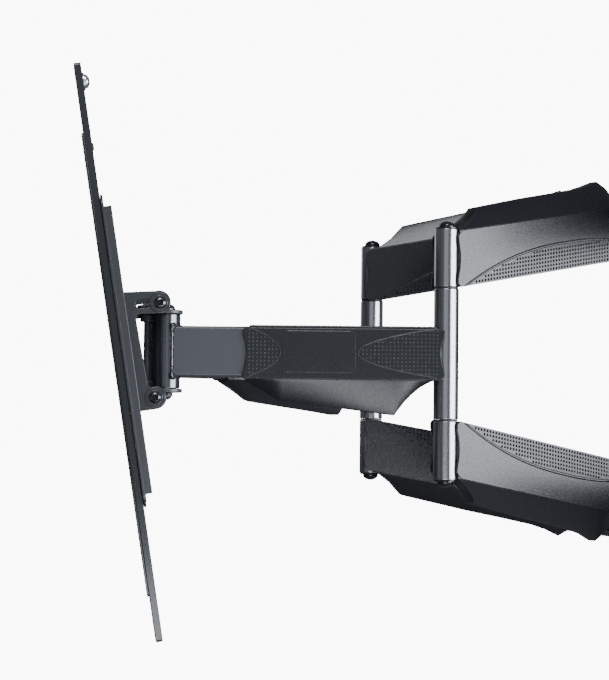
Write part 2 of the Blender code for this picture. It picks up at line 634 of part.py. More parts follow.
for side_name, side in SIDES:
    rail = piece(f"screen_rail_{side_name}", "gloss_steel", tilt, [
        (prism(rail_section, RAIL_LENGTH), at(side * RAIL_X, rail_back, SCREEN_MIDDLE)),
    ])
    web = at(side * RAIL_X, rail_back, SCREEN_MIDDLE) @ PLATE_PLANE
    openings = [circle((0, z), SCREW_HOLE, SMALL_ROUND) for z in (-RAIL_BOLT_Z, RAIL_BOLT_Z)]
    openings += [circle((0, z), BOLT_RADIUS + RUNNING, SMALL_ROUND) for z in SCREEN_SCREWS_Z]
    openings += [slot((0, z), 0.022, 0.008, 90) for z in SLOT_ROWS]
    combine(rail, "DIFFERENCE", [(prism(outline, 2.5 * SHEET), web) for outline in openings])

SCREW_REACH = 0.0070
screen_screw = turned([
    (0, 0.0057), (0.0052, 0.0057), (0.0065, 0.0046), (0.0065, 0.0014), (0.0080, 0.0014), (0.0080, 0),
    (0.0040, 0), (0.0040, -SCREW_REACH), (0, -SCREW_REACH),
])
facing_wall = Matrix.Rotation(-math.pi / 2, 4, "X")
pieces("screen_screw", "zinc", tilt, screen_screw, {
    f"{label}_{side_name}": at(side * RAIL_X, rail_back + GAP, SCREEN_MIDDLE + z) @ facing_wall
    for (label, _), z in zip(LEVELS, SCREEN_SCREWS_Z) for side_name, side in SIDES
})
bpy.context.view_layer.update()
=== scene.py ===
import json
import math

import bmesh
import bpy
from mathutils import Matrix, Vector
from mathutils.geometry import tessellate_polygon


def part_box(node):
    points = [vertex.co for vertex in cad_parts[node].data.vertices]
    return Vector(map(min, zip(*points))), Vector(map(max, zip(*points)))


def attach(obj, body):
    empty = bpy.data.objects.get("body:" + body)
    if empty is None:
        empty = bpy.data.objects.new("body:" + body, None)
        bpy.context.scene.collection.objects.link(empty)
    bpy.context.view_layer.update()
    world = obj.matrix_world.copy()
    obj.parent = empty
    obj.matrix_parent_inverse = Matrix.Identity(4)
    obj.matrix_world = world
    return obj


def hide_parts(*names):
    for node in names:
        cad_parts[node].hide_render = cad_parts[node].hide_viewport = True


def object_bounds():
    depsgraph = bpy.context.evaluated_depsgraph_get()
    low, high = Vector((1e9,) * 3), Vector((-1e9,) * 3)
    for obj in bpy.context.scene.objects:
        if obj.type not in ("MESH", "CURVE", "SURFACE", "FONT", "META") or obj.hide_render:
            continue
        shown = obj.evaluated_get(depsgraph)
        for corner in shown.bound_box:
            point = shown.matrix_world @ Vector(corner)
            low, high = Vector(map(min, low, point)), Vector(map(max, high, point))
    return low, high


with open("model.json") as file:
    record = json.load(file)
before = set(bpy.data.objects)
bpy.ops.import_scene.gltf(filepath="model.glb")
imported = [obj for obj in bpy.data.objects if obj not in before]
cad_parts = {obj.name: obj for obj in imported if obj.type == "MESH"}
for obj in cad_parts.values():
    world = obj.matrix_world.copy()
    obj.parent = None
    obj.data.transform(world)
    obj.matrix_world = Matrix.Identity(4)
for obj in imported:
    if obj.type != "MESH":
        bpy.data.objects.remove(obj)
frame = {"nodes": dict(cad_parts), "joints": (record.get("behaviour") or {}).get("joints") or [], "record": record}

cad_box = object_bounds()

# ---- frames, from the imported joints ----
LEVELS = (("upper", 1), ("lower", -1))
SIDES = (("right", 1), ("left", -1))
joints = {joint["name"]: joint for joint in frame["joints"]}
pivot = {name: Vector(joint["pos_m"]) for name, joint in joints.items()}
head_pivot = {"right": pivot["head_pivot_right"]}
head_pivot["left"] = Vector((-head_pivot["right"].x, head_pivot["right"].y, 0))
shoulder_of = {"right": pivot["arm_extension"], "left": pivot["shoulder_left"]}
elbow_of = {"right": pivot["elbow_right"], "left": pivot["elbow_left"]}


def basis(origin, x_axis, z_axis):
    """A frame with its X along x_axis and its Z as near as possible to z_axis."""
    x = Vector(x_axis).normalized()
    y = Vector(z_axis).cross(x).normalized()
    return Matrix.Translation(origin) @ Matrix((x, y, x.cross(y))).transposed().to_4x4()


UP = (0, 0, 1)
SHOULDER = {side: basis(shoulder_of[side], elbow_of[side] - shoulder_of[side], UP) for side, _ in SIDES}
ELBOW = {side: basis(elbow_of[side], head_pivot[side] - elbow_of[side], UP) for side, _ in SIDES}
WALL = Matrix.Identity(4)
YOKE = Matrix.Translation((0, head_pivot["right"].y, 0))
tilt_axis = joints["screen_tilt"]["axis"]
SWIVEL = basis(pivot["head_swivel"], tilt_axis, UP)
screen_normal = next(m["axis"] for m in frame["record"]["mounts"] if m["name"] == "screen_rail_right_face")
TILT = basis(pivot["screen_tilt"], tilt_axis, Vector(screen_normal).cross(Vector(tilt_axis)))

# ---- sizes ----
ARM = (elbow_of["right"] - shoulder_of["right"]).length
PIVOT_X = head_pivot["right"].x
HALF_W = 0.0122  # half the arm tube's width
HALF_H = 0.0254  # half its height
REAR_Z = 0.0943  # middle of the upper rear arm at the elbow
RISE = 0.1790  # its rise per metre towards the wall
WALL_Z = REAR_Z + RISE * ARM
POST_R = 0.0125
POST_TOP = 0.1253
SEAM_LOW, SEAM_HIGH = 0.0653, 0.0671
KNUCKLE_R = 0.0135
WALL_KNUCKLE = 0.030  # half heights of the knuckles
HEAD_KNUCKLE = 0.037
COVER_Y = 0.015  # outer face of the arm covers
SKIN = 0.0012  # thickness of their outer skin
LIP = 0.0031  # cover past the tube
COVER_END = 0.250  # wall end of the rear covers, from the elbow
TIE_Z = 0.0445  # middle of the screen plates above the tilt axis


# ---- outlines, as lists of (x, y) ----
def polar(centre, radius, angle):
    turn = math.radians(angle)
    return centre[0] + radius * math.cos(turn), centre[1] + radius * math.sin(turn)


def arc(centre, radius, start, end, steps):
    return [polar(centre, radius, start + (end - start) * i / steps) for i in range(steps + 1)]


def circle(centre, radius, sides=24):
    return arc(centre, radius, 0, 360, sides)[:-1]


def rounded_box(centre, width, height, radius, steps=5):
    x, y = width / 2 - radius, height / 2 - radius
    corners = ((x, y, 0), (-x, y, 90), (-x, -y, 180), (x, -y, 270))
    return [
        point
        for dx, dy, start in corners
        for point in arc((centre[0] + dx, centre[1] + dy), radius, start, start + 90, steps)
    ]


def slot(centre, length, width, direction=0):
    return [
        point
        for end in (direction, direction + 180)
        for point in arc(polar(centre, (length - width) / 2, end), width / 2, end - 90, end + 90, 8)
    ]


def soften(points, radius, closed=True, steps=4):
    """The same outline with its corners rounded off, by up to the given distance."""
    made = []
    count = len(points)
    for i, point in enumerate(points):
        here = Vector(point)
        if not closed and i in (0, count - 1):
            made.append(tuple(here))
            continue
        before, after = Vector(points[i - 1]), Vector(points[(i + 1) % count])
        reach_in = min(radius, 0.45 * (before - here).length)
        reach_out = min(radius, 0.45 * (after - here).length)
        a = here + (before - here).normalized() * reach_in
        b = here + (after - here).normalized() * reach_out
        for k in range(steps + 1):
            s = k / steps
            made.append(tuple(a * (1 - s) ** 2 + here * 2 * s * (1 - s) + b * s * s))
    return made


def area(loop):
    return sum(a[0] * b[1] - b[0] * a[1] for a, b in zip(loop, loop[1:] + loop[:1])) / 2


def cleaned(loop, turn):
    """The loop without doubled points, counter-clockwise for turn 1 and clockwise for -1."""
    kept = [p for p, q in zip(loop, loop[1:] + loop[:1]) if math.dist(p, q) > 2e-6]
    return kept if area(kept) * turn > 0 else kept[::-1]


def inset(loop, distance):
    """The loop moved towards its left-hand side."""
    made = []
    for i, point in enumerate(loop):
        a = (Vector(point) - Vector(loop[i - 1])).normalized()
        b = (Vector(loop[(i + 1) % len(loop)]) - Vector(point)).normalized()
        miter = Vector((-a.y - b.y, a.x + b.x)) / max(0.35, 1 + a.dot(b))
        made.append((point[0] + miter.x * distance, point[1] + miter.y * distance))
    return made


# ---- meshes ----
def mesh_of(points, faces):
    shape = bpy.data.meshes.new("mesh")
    shape.from_pydata([tuple(p) for p in points], [], faces)
    tidy = bmesh.new()
    tidy.from_mesh(shape)
    bmesh.ops.recalc_face_normals(tidy, faces=tidy.faces)
    tidy.to_mesh(shape)
    tidy.free()
    return shape


def plate(outline, thickness, holes=(), edge=0.0005, steps=2):
    """A flat shape with rounded edges and with holes, about z = 0."""
    loops = [cleaned(list(outline), 1)] + [cleaned(list(hole), -1) for hole in holes]
    quarter = [(edge * (1 - math.sin(a)), thickness / 2 - edge * (1 - math.cos(a)))
               for a in (math.pi / 2 * k / steps for k in range(steps + 1))]
    levels = quarter + [(d, -z) for d, z in reversed(quarter)]
    points, faces, starts = [], [], []
    for distance, z in levels:
        starts.append(len(points))
        for loop in loops:
            points += [(x, y, z) for x, y in inset(loop, distance)]
    for low, high in zip(starts[1:], starts):
        first = 0
        for loop in loops:
            n = len(loop)
            for i in range(n):
                a, b = first + i, first + (i + 1) % n
                faces.append((high + a, high + b, low + b, low + a))
            first += n
    caps = tessellate_polygon([[Vector((*p, 0)) for p in inset(loop, edge)] for loop in loops])
    for triangle in caps:
        faces.append(tuple(starts[0] + i for i in triangle))
        faces.append(tuple(starts[-1] + i for i in reversed(triangle)))
    return mesh_of(points, faces)


def lathe(profile, sides=48, ring=False):
    """A solid of revolution about Z, from its (radius, height) profile; a ring's profile closes on itself."""
    points, faces, rows = [], [], []
    for radius, height in profile:
        if radius < 1e-6:
            rows.append([len(points)] * sides)
            points.append((0, 0, height))
        else:
            rows.append(list(range(len(points), len(points) + sides)))
            points += [(x, y, height) for x, y in circle((0, 0), radius, sides)]
    for a, b in zip(rows, rows[1:] + (rows[:1] if ring else [])):
        for i in range(sides):
            j = (i + 1) % sides
            corners = list(dict.fromkeys((a[i], a[j], b[j], b[i])))
            if len(corners) > 2:
                faces.append(corners)
    return mesh_of(points, faces)


def tube(radius, bore, half, edge=0.0008):
    return lathe(soften([(radius, -half), (radius, half), (bore, half), (bore, -half)], edge), ring=True)


def loft(sections):
    """A skin over closed sections with the same number of points, closed at both ends."""
    n = len(sections[0])
    points = [p for section in sections for p in section]
    faces = []
    for row in range(len(sections) - 1):
        for i in range(n):
            a, b = row * n + i, row * n + (i + 1) % n
            faces.append((a, b, b + n, a + n))
    middle = len(points)
    for section, first in ((sections[0], 0), (sections[-1], (len(sections) - 1) * n)):
        points.append(sum((Vector(p) for p in section), Vector()) / n)
        faces += [(first + i, first + (i + 1) % n, middle) for i in range(n)]
        middle += 1
    return mesh_of(points, faces)


def evaluated(source):
    bpy.context.scene.collection.objects.link(source)
    graph = bpy.context.evaluated_depsgraph_get()
    made = bpy.data.meshes.new_from_object(source.evaluated_get(graph))
    bpy.data.objects.remove(source)
    return made


def cut(mesh, tools):
    """The mesh less the closed meshes given."""
    source = bpy.data.objects.new("target", mesh)
    helpers = []
    for tool in tools:
        helper = bpy.data.objects.new("tool", tool)
        bpy.context.scene.collection.objects.link(helper)
        boolean = source.modifiers.new("cut", "BOOLEAN")
        boolean.operation = "DIFFERENCE"
        boolean.solver = "EXACT"
        boolean.object = helper
        helpers.append(helper)
    made = evaluated(source)
    for helper in helpers:
        bpy.data.objects.remove(helper)
    return made


def swept(path, radii, sides=4):
    """A round bead along a closed path, with a radius for each point."""
    curve = bpy.data.curves.new("bead", "CURVE")
    curve.dimensions = "3D"
    curve.bevel_depth = 1.0
    curve.bevel_resolution = sides
    spline = curve.splines.new("POLY")
    spline.points.add(len(path) - 1)
    for point, place, radius in zip(spline.points, path, radii):
        point.co = (*place, 1)
        point.radius = radius
    spline.use_cyclic_u = True
    return evaluated(bpy.data.objects.new("bead", curve))


def moved(mesh, matrix):
    mesh.transform(matrix)
    if matrix.determinant() < 0:
        mesh.flip_normals()
    return mesh


def at(x=0.0, y=0.0, z=0.0):
    return Matrix.Translation((x, y, z))


FLAT = Matrix.Rotation(math.pi / 2, 4, "X")  # an outline's x, y become X, Z
SIDEWAYS = Matrix(((0, 0, 1, 0), (1, 0, 0, 0), (0, 1, 0, 0), (0, 0, 0, 1)))  # x, y become Y, Z
FLIP = Matrix.Rotation(math.pi, 4, "X")


# ---- materials ----
def camera_only(tree, target, low, high):
    """Sets an input to high where the camera sees it directly, and to low for every other ray."""
    seen = tree.nodes.new("ShaderNodeLightPath")
    level = tree.nodes.new("ShaderNodeMapRange")
    level.inputs["To Min"].default_value = low
    level.inputs["To Max"].default_value = high
    tree.links.new(seen.outputs["Is Camera Ray"], level.inputs["Value"])
    tree.links.new(level.outputs["Result"], target)


def finish(name, colour, roughness, metallic=0.0, grain=900.0, bump=0.15, mottle=0.12, worn=None,
           uneven=0.06):
    """A procedural paint, plastic or metal: fine grain, uneven gloss, slight mottling and worn edges."""
    made = bpy.data.materials.new(name)
    made.use_nodes = True
    nodes, links = made.node_tree.nodes, made.node_tree.links

    def fill(node, inputs):
        """Gives each input its value, or joins it to another node's output."""
        for key, value in inputs.items():
            if isinstance(value, bpy.types.NodeSocket):
                links.new(value, node.inputs[key])
            else:
                node.inputs[key].default_value = value
        return node

    def new(kind, inputs, **settings):
        node = nodes.new("ShaderNode" + kind)
        for key, value in settings.items():
            setattr(node, key, value)
        return fill(node, inputs)

    place = new("TexCoord", {}).outputs["Object"]

    def noise(scale, detail, rough=0.5):
        settings = {"Scale": scale, "Detail": detail, "Roughness": rough, "Vector": place}
        return new("TexNoise", settings).outputs["Fac"]

    def spread(value, low, high, first=0.3, last=0.7):
        span = {"Value": value, "From Min": first, "From Max": last, "To Min": low, "To Max": high}
        return new("MapRange", span).outputs["Result"]

    broad, fine = noise(14.0, 4.0, 0.6), noise(grain, 3.0)
    blend = new("Math", {0: spread(broad, 0.0, 0.6), 1: spread(fine, 0.0, 0.4)}, operation="ADD")
    dark = (*[c * (1 - mottle) for c in colour], 1)
    light = (*[min(1, c * (1 + mottle)) for c in colour], 1)
    tone = new("Mix", {"A": dark, "B": light, "Factor": blend.outputs["Value"]}, data_type="RGBA")

    bevel = new("Bevel", {"Radius": 0.0007}, samples=4).outputs["Normal"]
    flat = new("NewGeometry", {}).outputs["Normal"]
    facing = new("VectorMath", {0: bevel, 1: flat}, operation="DOT_PRODUCT").outputs["Value"]
    edge = spread(facing, 0.0, 0.55, 0.99, 0.90)
    scuffs = new("Math", {0: edge, 1: spread(noise(160.0, 2.0), 0.2, 1.0)}, operation="MULTIPLY")
    bare = (*(worn or [min(1, c * 2.2 + 0.02) for c in colour]), 1)
    wear = new("Mix", {"A": tone.outputs["Result"], "B": bare, "Factor": scuffs.outputs["Value"]},
               data_type="RGBA")
    relief = new("Bump", {"Strength": bump, "Distance": 0.0002, "Height": fine}).outputs["Normal"]
    gloss = spread(fine, roughness - uneven, roughness + uneven)
    fill(nodes["Principled BSDF"],
         {"Base Color": wear.outputs["Result"], "Roughness": gloss, "Normal": relief, "Metallic": metallic})
    return made


PLASTIC = finish("moulded_plastic", (0.0045, 0.0055, 0.0085), 0.29, grain=1500, bump=0.12, mottle=0.12,
                 worn=(0.10, 0.11, 0.13))
# A lighter copy of the cover plastic for the raised rims and dots: a painted highlight on them.
PLASTIC_PAINTED_HIGHLIGHT = finish("raised_plastic_painted_highlight", (0.024, 0.027, 0.036), 0.24, grain=1500, bump=0.05, mottle=0.12)
# Near-black rough plastic for the floors of the dot holes and the bolt sockets: painted shade in these hollows.
PLASTIC_PAINTED_SHADE = finish("plastic_painted_shade", (0.001, 0.001, 0.0012), 0.93, grain=1500, bump=0.2,
                      worn=(0.001, 0.001, 0.001))
GREY_PAINT = finish("satin_grey_paint", (0.050, 0.054, 0.062), 0.34, grain=500, bump=0.06, mottle=0.08)
KNUCKLE_PAINT = finish("gunmetal_knuckle", (0.13, 0.135, 0.155), 0.22, metallic=0.9, grain=350, bump=0.0,
                       mottle=0.05, uneven=0.02)
BLACK_PAINT = finish("satin_black_paint", (0.026, 0.028, 0.034), 0.30, grain=700, bump=0.0, mottle=0.06,
                     uneven=0.015, worn=(0.12, 0.13, 0.15))
GLOSS = finish("gloss_gunmetal", (0.31, 0.32, 0.35), 0.20, metallic=0.95, grain=350, bump=0.0, mottle=0.03,
               uneven=0.01)
CAP_GLOSS = finish("gloss_black_cap", (0.008, 0.009, 0.012), 0.14, grain=300, bump=0.02,
                   worn=(0.04, 0.04, 0.05))
RAIL_PAINT = finish("rail_enamel", (0.012, 0.014, 0.018), 0.22, grain=450, bump=0.02, mottle=0.10,
                    worn=(0.30, 0.31, 0.34), uneven=0.02)
OXIDE = finish("black_oxide", (0.075, 0.078, 0.09), 0.22, metallic=0.9, grain=900, bump=0.03, mottle=0.1,
               worn=(0.45, 0.46, 0.50), uneven=0.02)
ZINC = finish("zinc_plate", (0.62, 0.63, 0.65), 0.25, metallic=1.0, grain=700, bump=0.10, mottle=0.08)
WELD = finish("painted_weld", (0.10, 0.105, 0.12), 0.20, metallic=0.85, grain=420, bump=0.25, mottle=0.2,
              uneven=0.04)
NYLON = finish("nylon_washer", (0.012, 0.012, 0.013), 0.45, grain=800, bump=0.1)
WALL_PAINT = finish("powder_coat", (0.022, 0.023, 0.026), 0.48, grain=1100, bump=0.35, mottle=0.10)


# ---- pieces ----
SLOT_OF = {
    PLASTIC: "black_plastic", PLASTIC_PAINTED_HIGHLIGHT: "black_plastic", PLASTIC_PAINTED_SHADE: "black_plastic",
    NYLON: "black_plastic", GREY_PAINT: "grey_steel", KNUCKLE_PAINT: "grey_steel", WELD: "grey_steel",
    BLACK_PAINT: "black_steel", WALL_PAINT: "black_steel", GLOSS: "gloss_steel", CAP_GLOSS: "gloss_steel",
    RAIL_PAINT: "gloss_steel", OXIDE: "black_oxide", ZINC: "zinc",
}
SMOOTH_BELOW = math.radians(33)  # edges flatter than this are shaded smooth


def add(name, mesh, place, body, material, replaced=(), slot_name=None):
    """One named piece, placed in the row frame, riding on its body."""
    slot_name = slot_name or SLOT_OF[material]
    made = bpy.data.objects.new(name, mesh)
    bpy.context.scene.collection.objects.link(made)
    mesh.name = name
    mesh.materials.clear()
    mesh.materials.append(material)
    mesh.shade_smooth()
    mesh.set_sharp_from_angle(angle=SMOOTH_BELOW)
    weighted = made.modifiers.new("weighted", "WEIGHTED_NORMAL")
    weighted.keep_sharp = True
    made.matrix_world = place
    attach(made, body)
    if replaced:
        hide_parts(*replaced)
    return made


def adder(place, body):
    """The add function for pieces that share a place and a body."""
    def put(name, mesh, material, replaced=(), slot_name=None):
        return add(name, mesh, place, body, material, replaced, slot_name)
    return put


def upright(mesh, y=0.0):
    """A plate drawn in x, y stood up so that y becomes Z, at the given Y."""
    return moved(mesh, at(y=y) @ FLAT)


def sideways(mesh, x=0.0):
    """A plate drawn in x, y turned so that they become Y, Z, at the given X."""
    return moved(mesh, at(x) @ SIDEWAYS)


def lifted(mesh, z, under=False):
    """The mesh moved to height z, upside down if it goes under."""
    return moved(mesh, at(z=z) @ (FLIP if under else Matrix()))


def hex_loop(radius, turn=0):
    return arc((0, 0), radius, turn, turn + 360, 6)[:-1]


def button_head(radius, height, socket):
    """A domed head on z = 0 with a hexagon socket."""
    dome = [(0, 0), (radius, 0), (radius, height * 0.18)]
    dome += [(radius * math.cos(a), height * (0.18 + 0.82 * math.sin(a)))
             for a in (math.radians(15 * k) for k in range(1, 5))]
    dome += [(radius * 0.42, height), (0, height)]
    hexagon = moved(plate(hex_loop(socket), height * 1.6, edge=0.00005, steps=1), at(z=height * 1.15))
    return cut(lathe(dome, 40), [hexagon])


def washer(radius, bore, height, edge=0.0003):
    return moved(tube(radius, bore, height / 2, edge), at(z=height / 2))


def hex_nut(radius, height, turn=0):
    """A nut on z = 0 with its corners chamfered by a cone."""
    body = moved(plate(hex_loop(radius, turn), height, edge=0.0003), at(z=height / 2))
    crown = lathe([(0, height * 1.5), (radius * 1.3, height * 1.5), (radius * 1.3, height * 0.55),
                   (radius * 0.88, height * 1.001), (0, height * 1.001)], 40)
    return cut(body, [crown])


def shank(radius, low, high, edge=0.0004):
    return lathe(soften([(0, low), (radius, low), (radius, high), (0, high)], edge, closed=False), 32)


def rim(outline, width, height):
    """A thin raised strip along an open outline, about z = 0."""
    band = [Vector((*p, 0)) for p in outline]
    sides = []
    for sign in (1, -1):
        row = []
        for i, p in enumerate(band):
            along = (band[min(i + 1, len(band) - 1)] - band[max(i - 1, 0)]).normalized()
            row.append((p.x - sign * along.y * width / 2, p.y + sign * along.x * width / 2))
        sides.append(row)
    return plate(sides[0] + sides[1][::-1], height, edge=min(width, height) * 0.33)


# Arms: the rear panel's outline in (distance from the elbow, z) of an upper arm.
def inner_edge(t):
    return REAR_Z - HALF_H - LIP + RISE * t


def fold(t):
    return REAR_Z + HALF_H + LIP + RISE * t


def rear(points, level):
    return [(ARM - t, level * z) for t, z in points]


ZONE_TOP, ZONE_T, ZONE_HALF = 0.0295, 0.155, 0.145  # height, apex and half length of the dotted zone
ZONE_POWER = 2.35


def zone_height(t, lower=0.0):
    return (ZONE_TOP - lower) * (1 - (abs(t - ZONE_T) / (ZONE_HALF - 1.5 * lower)) ** ZONE_POWER)


def zone_line(lower=0.0, steps=36):
    """The zone's upper border, from the elbow to the cover's wall end, moved in by lower."""
    start = ZONE_T - (ZONE_HALF - 1.5 * lower)
    stations = [start + (COVER_END - start) * (i / steps) ** 1.25 for i in range(steps + 1)]
    return [(t, inner_edge(t) + max(0.0, zone_height(t, lower))) for t in stations]


ELBOW_END = ((0.0032, 0.0030), (0.0022, 0.0085), (0.0050, 0.0200), (0.0058, 0.0340), (0.0030, 0.0470),
             (0.0026, 0.0530))
CHEEK_SHIFT = -0.0105  # the faces that look at the other arms reach past the elbow post by this much more


def elbow_end(shift=0.0):
    """The wavy elbow end of a rear cover, as (distance from the elbow, z)."""
    first, last = 0.0075 + shift, 0.0080 + shift
    middle = [(t + shift, inner_edge(shift) + z) for t, z in ELBOW_END]
    return soften([(first, inner_edge(first)), *middle, (last, fold(last))], 0.009, closed=False, steps=3)


panel = elbow_end() + [(COVER_END, fold(COVER_END)), (COVER_END, inner_edge(COVER_END))]
zone_outer = zone_line()
CHEEK_END = 0.012
cheek = elbow_end(CHEEK_SHIFT) + [(CHEEK_END, fold(CHEEK_END)), (CHEEK_END, inner_edge(CHEEK_END))]
GROOVE = 0.0004
band_outer, band_inner = zone_line(GROOVE), zone_line(0.0021)
inlay_top = zone_line(0.0025)
DOT_PITCH = 0.0040
DOT_R = 0.00125


def zone_dots():
    """Centres of the dots, in rows parallel to the inner edge."""
    places = []
    for row in range(8):
        lift = 0.0030 + row * DOT_PITCH
        t = ZONE_T % DOT_PITCH
        while t < COVER_END - 0.004:
            if zone_height(t, 0.0025) > lift + 0.0018:
                places.append((t, inner_edge(t) + lift))
            t += DOT_PITCH
    return places


# The cable channel on the outer edge of a rear cover, as (distance from the elbow, height above the fold).
TIP = 0.208
CREST = ((0.004, 0.0203), (0.034, 0.0205), (0.105, 0.0238), (0.150, 0.0248), (0.178, 0.0258), (0.193, 0.0280),
         (TIP, 0.0326), (0.220, 0.0235), (0.239, 0.0045))
UPPER_TIP = 0.0308  # height of the tip on the upper arms
CREST_END_POWER = 1.7  # how hollow the channel's elbow end is
CREST_SLANT = 0.0275  # how far that end slants back
CREST_START, CREST_STOP = 0.0045, 0.2381
CREST_EDGE = 0.0006  # its rounded edges
CREST_ROOT = -0.006  # it starts inside the cover
CREST_TOP = 0.0060  # half width of its ridge
CREST_BULGE = 0.9


def crest_height(t, level):
    """Height of the channel above the fold, at a distance from the elbow."""
    heights = [(at_t, UPPER_TIP if level > 0 and at_t == TIP else z) for at_t, z in CREST]
    for (a, low), (b, high) in zip(heights, heights[1:]):
        if t <= b:
            return low + (high - low) * (t - a) / (b - a)
    return heights[-1][1]


crest_stations = [0.040, 0.070, 0.105, 0.130, 0.150, 0.166, 0.178, 0.186, 0.193, 0.201, 0.2062, TIP, 0.2098,
                  0.215, 0.220, 0.230, 0.2375]


def crest_section(t, level, ends=0.0, drop=0.0):
    """A section of the cable channel above the fold; ends slants it back towards its top."""
    height = crest_height(t, level) - drop
    half = []
    for s in (0.0, 0.03, 0.12, 0.3, 0.5, 0.7, 0.86, 0.95, 1.0):
        y = CREST_TOP + (COVER_Y - CREST_EDGE - CREST_TOP) * (1 - s) ** CREST_BULGE
        half.append((y - drop, s * height))
    half.append((CREST_TOP - 2 * CREST_EDGE - drop, height + CREST_EDGE))
    made = [(half[0][0], CREST_ROOT)] + half
    loop = made + [(-y, z) for y, z in reversed(made)]
    slant = [t + ends * (1 - (1 - min(1.0, max(0.0, z / height))) ** CREST_END_POWER) for _, z in loop]
    return [(ARM - x, y, level * (fold(x) + z)) for x, (y, z) in zip(slant, loop)]


def crest(level):
    first = [crest_section(CREST_START, level, CREST_SLANT, CREST_EDGE),
             crest_section(CREST_START + CREST_EDGE, level, CREST_SLANT)]
    rest = [crest_section(t, level) for t in crest_stations]
    last = crest_section(CREST_STOP, level, 0, CREST_EDGE)
    return loft(first + rest + [last])


def bead(x, half_width, radius, z_at, seed):
    """A weld round the end of a tube, where it meets a knuckle at x. z_at gives the two edges' heights."""
    reach = math.sqrt(radius ** 2 - half_width ** 2)
    path, radii = [], []
    edge = math.degrees(math.atan2(half_width, reach))

    def line(y, start, end, count):
        for i in range(count):
            path.append((x - reach - 0.0004, y, start + (end - start) * i / count))

    def across(z, start, end, count):
        for i in range(count):
            px, py = polar((0, 0), radius + 0.0004, start + (end - start) * i / count)
            path.append((x - px, py, z))

    low, high = z_at
    line(half_width + 0.0003, low, high, 26)
    across(high, edge, -edge, 12)
    line(-half_width - 0.0003, high, low, 26)
    across(low, -edge, edge, 12)
    for i, (_, y, z) in enumerate(path):
        near_corner = max(0.0, 1 - min(abs(z - low), abs(z - high)) / 0.007) * (abs(y) > half_width - 0.002)
        ripple = 0.18 * math.sin(i * 2.1 + seed) + 0.12 * math.sin(i * 0.77 + 2 * seed)
        radii.append(0.00125 * (1 + ripple + 1.6 * near_corner))
    return swept(path, radii)


def arm_tube(length_from, length_to, middle, rise):
    """A rectangular tube with rounded edges along X, its middle height at X = 0 and its rise given."""
    section = rounded_box((0, 0), 2 * HALF_W, 2 * HALF_H, 0.0030, 5)
    return loft([[(x, y, middle + rise * x + z) for y, z in section] for x in (length_from, length_to)])


FORE_HALF = 0.027
FORE_END = 0.204
TOP_EDGE = 0.0245
fore_face = soften([
    (0.0068, -0.0270), (0.0022, -0.0235), (0.0022, -0.0190), (0.0052, -0.0100), (0.0068, 0.0010),
    (0.0048, 0.0110), (0.0022, 0.0180), (0.0026, TOP_EDGE - 0.0015), (0.0060, TOP_EDGE),
    (FORE_END - 0.0028, TOP_EDGE), (FORE_END, 0.0205), (FORE_END - 0.0006, 0.0160),
    (FORE_END - 0.0034, 0.0080), (FORE_END - 0.0040, -0.0020), (FORE_END - 0.0028, -0.0120),
    (FORE_END - 0.0008, -0.0190), (FORE_END, -0.0240), (FORE_END - 0.0012, -0.0270),
], 0.0035, steps=3)
NEAR_APEX, NEAR_EDGE = 0.0885, 0.0100  # the larger dotted zone, by the elbow
FAR_APEX, FAR_EDGE = 0.1657, 0.1975  # the smaller one, by the bare tube


def parabola(apex, edge, half, steps=20, grow=0.0):
    """A zone's border, with its apex on the middle line."""
    made = []
    for i in range(-steps, steps + 1):
        z = half * i / steps
        made.append((apex + grow + (edge - apex) * (z / half) ** 2, z))
    return made


def zone_bumps(apex, edge):
    """Centres of the raised dots on a forearm cover's zone."""
    places = []
    pitch = 0.0039
    for column in range(60):
        x = 0.0100 + column * pitch
        for row in range(-6, 7):
            z = row * pitch - 0.0012
            inside = (x - apex) / (edge - apex)
            if inside <= 0 or abs(z) > 0.0225:
                continue
            hollow = 0.0066 if edge < apex else FORE_END - 0.0068
            if (edge < apex and x < hollow) or (edge > apex and x > hollow):
                continue
            if abs(z) < 0.0262 * math.sqrt(min(1.0, inside)) - 0.0026:
                places.append((x, z))
    return places


def dots(places, face, outward, radius=0.00105, height=0.00045):
    """One mesh of small domes on a face at y."""
    points, faces = [], []
    rings = ((radius, 0.0), (radius * 0.8, 0.6), (radius * 0.42, 0.93))
    for x, z in places:
        first = len(points)
        points += [(x + dx, face + outward * (height * lift), z + dz)
                   for r, lift in rings for dx, dz in circle((0, 0), r, 8)]
        points.append((x, face + outward * height, z))
        top = len(points) - 1
        points.append((x, face - outward * 0.0003, z))
        for i in range(8):
            j = (i + 1) % 8
            faces += [(first + k + i, first + k + j, first + k + 8 + j, first + k + 8 + i) for k in (0, 8)]
            faces += [(first + 16 + i, first + 16 + j, top), (first + i, first + j, top + 1)]
    return mesh_of(points, faces)


# The cable cover under a forearm, as (distance from the elbow, depth, half width of its underside).
BELLY = (
    (0.0140, 0.0274, 0.0118), (0.0200, 0.0303, 0.0112), (0.0267, 0.0343, 0.0106), (0.0340, 0.0403, 0.0100),
    (0.0410, 0.0475, 0.0094), (0.0470, 0.0552, 0.0088), (0.0517, 0.0620, 0.0082), (0.0560, 0.0616, 0.0080),
    (0.0800, 0.0585, 0.0074), (0.1050, 0.0556, 0.0068), (0.1350, 0.0522, 0.0060), (0.1640, 0.0488, 0.0053),
    (0.1700, 0.0474, 0.0050), (0.1790, 0.0416, 0.0046), (0.1900, 0.0352, 0.0042), (0.2000, 0.0300, 0.0040),
)
BELLY_STOP = (0.2006, 0.0297, 0.0040)
BELLY_EDGE = 0.0004


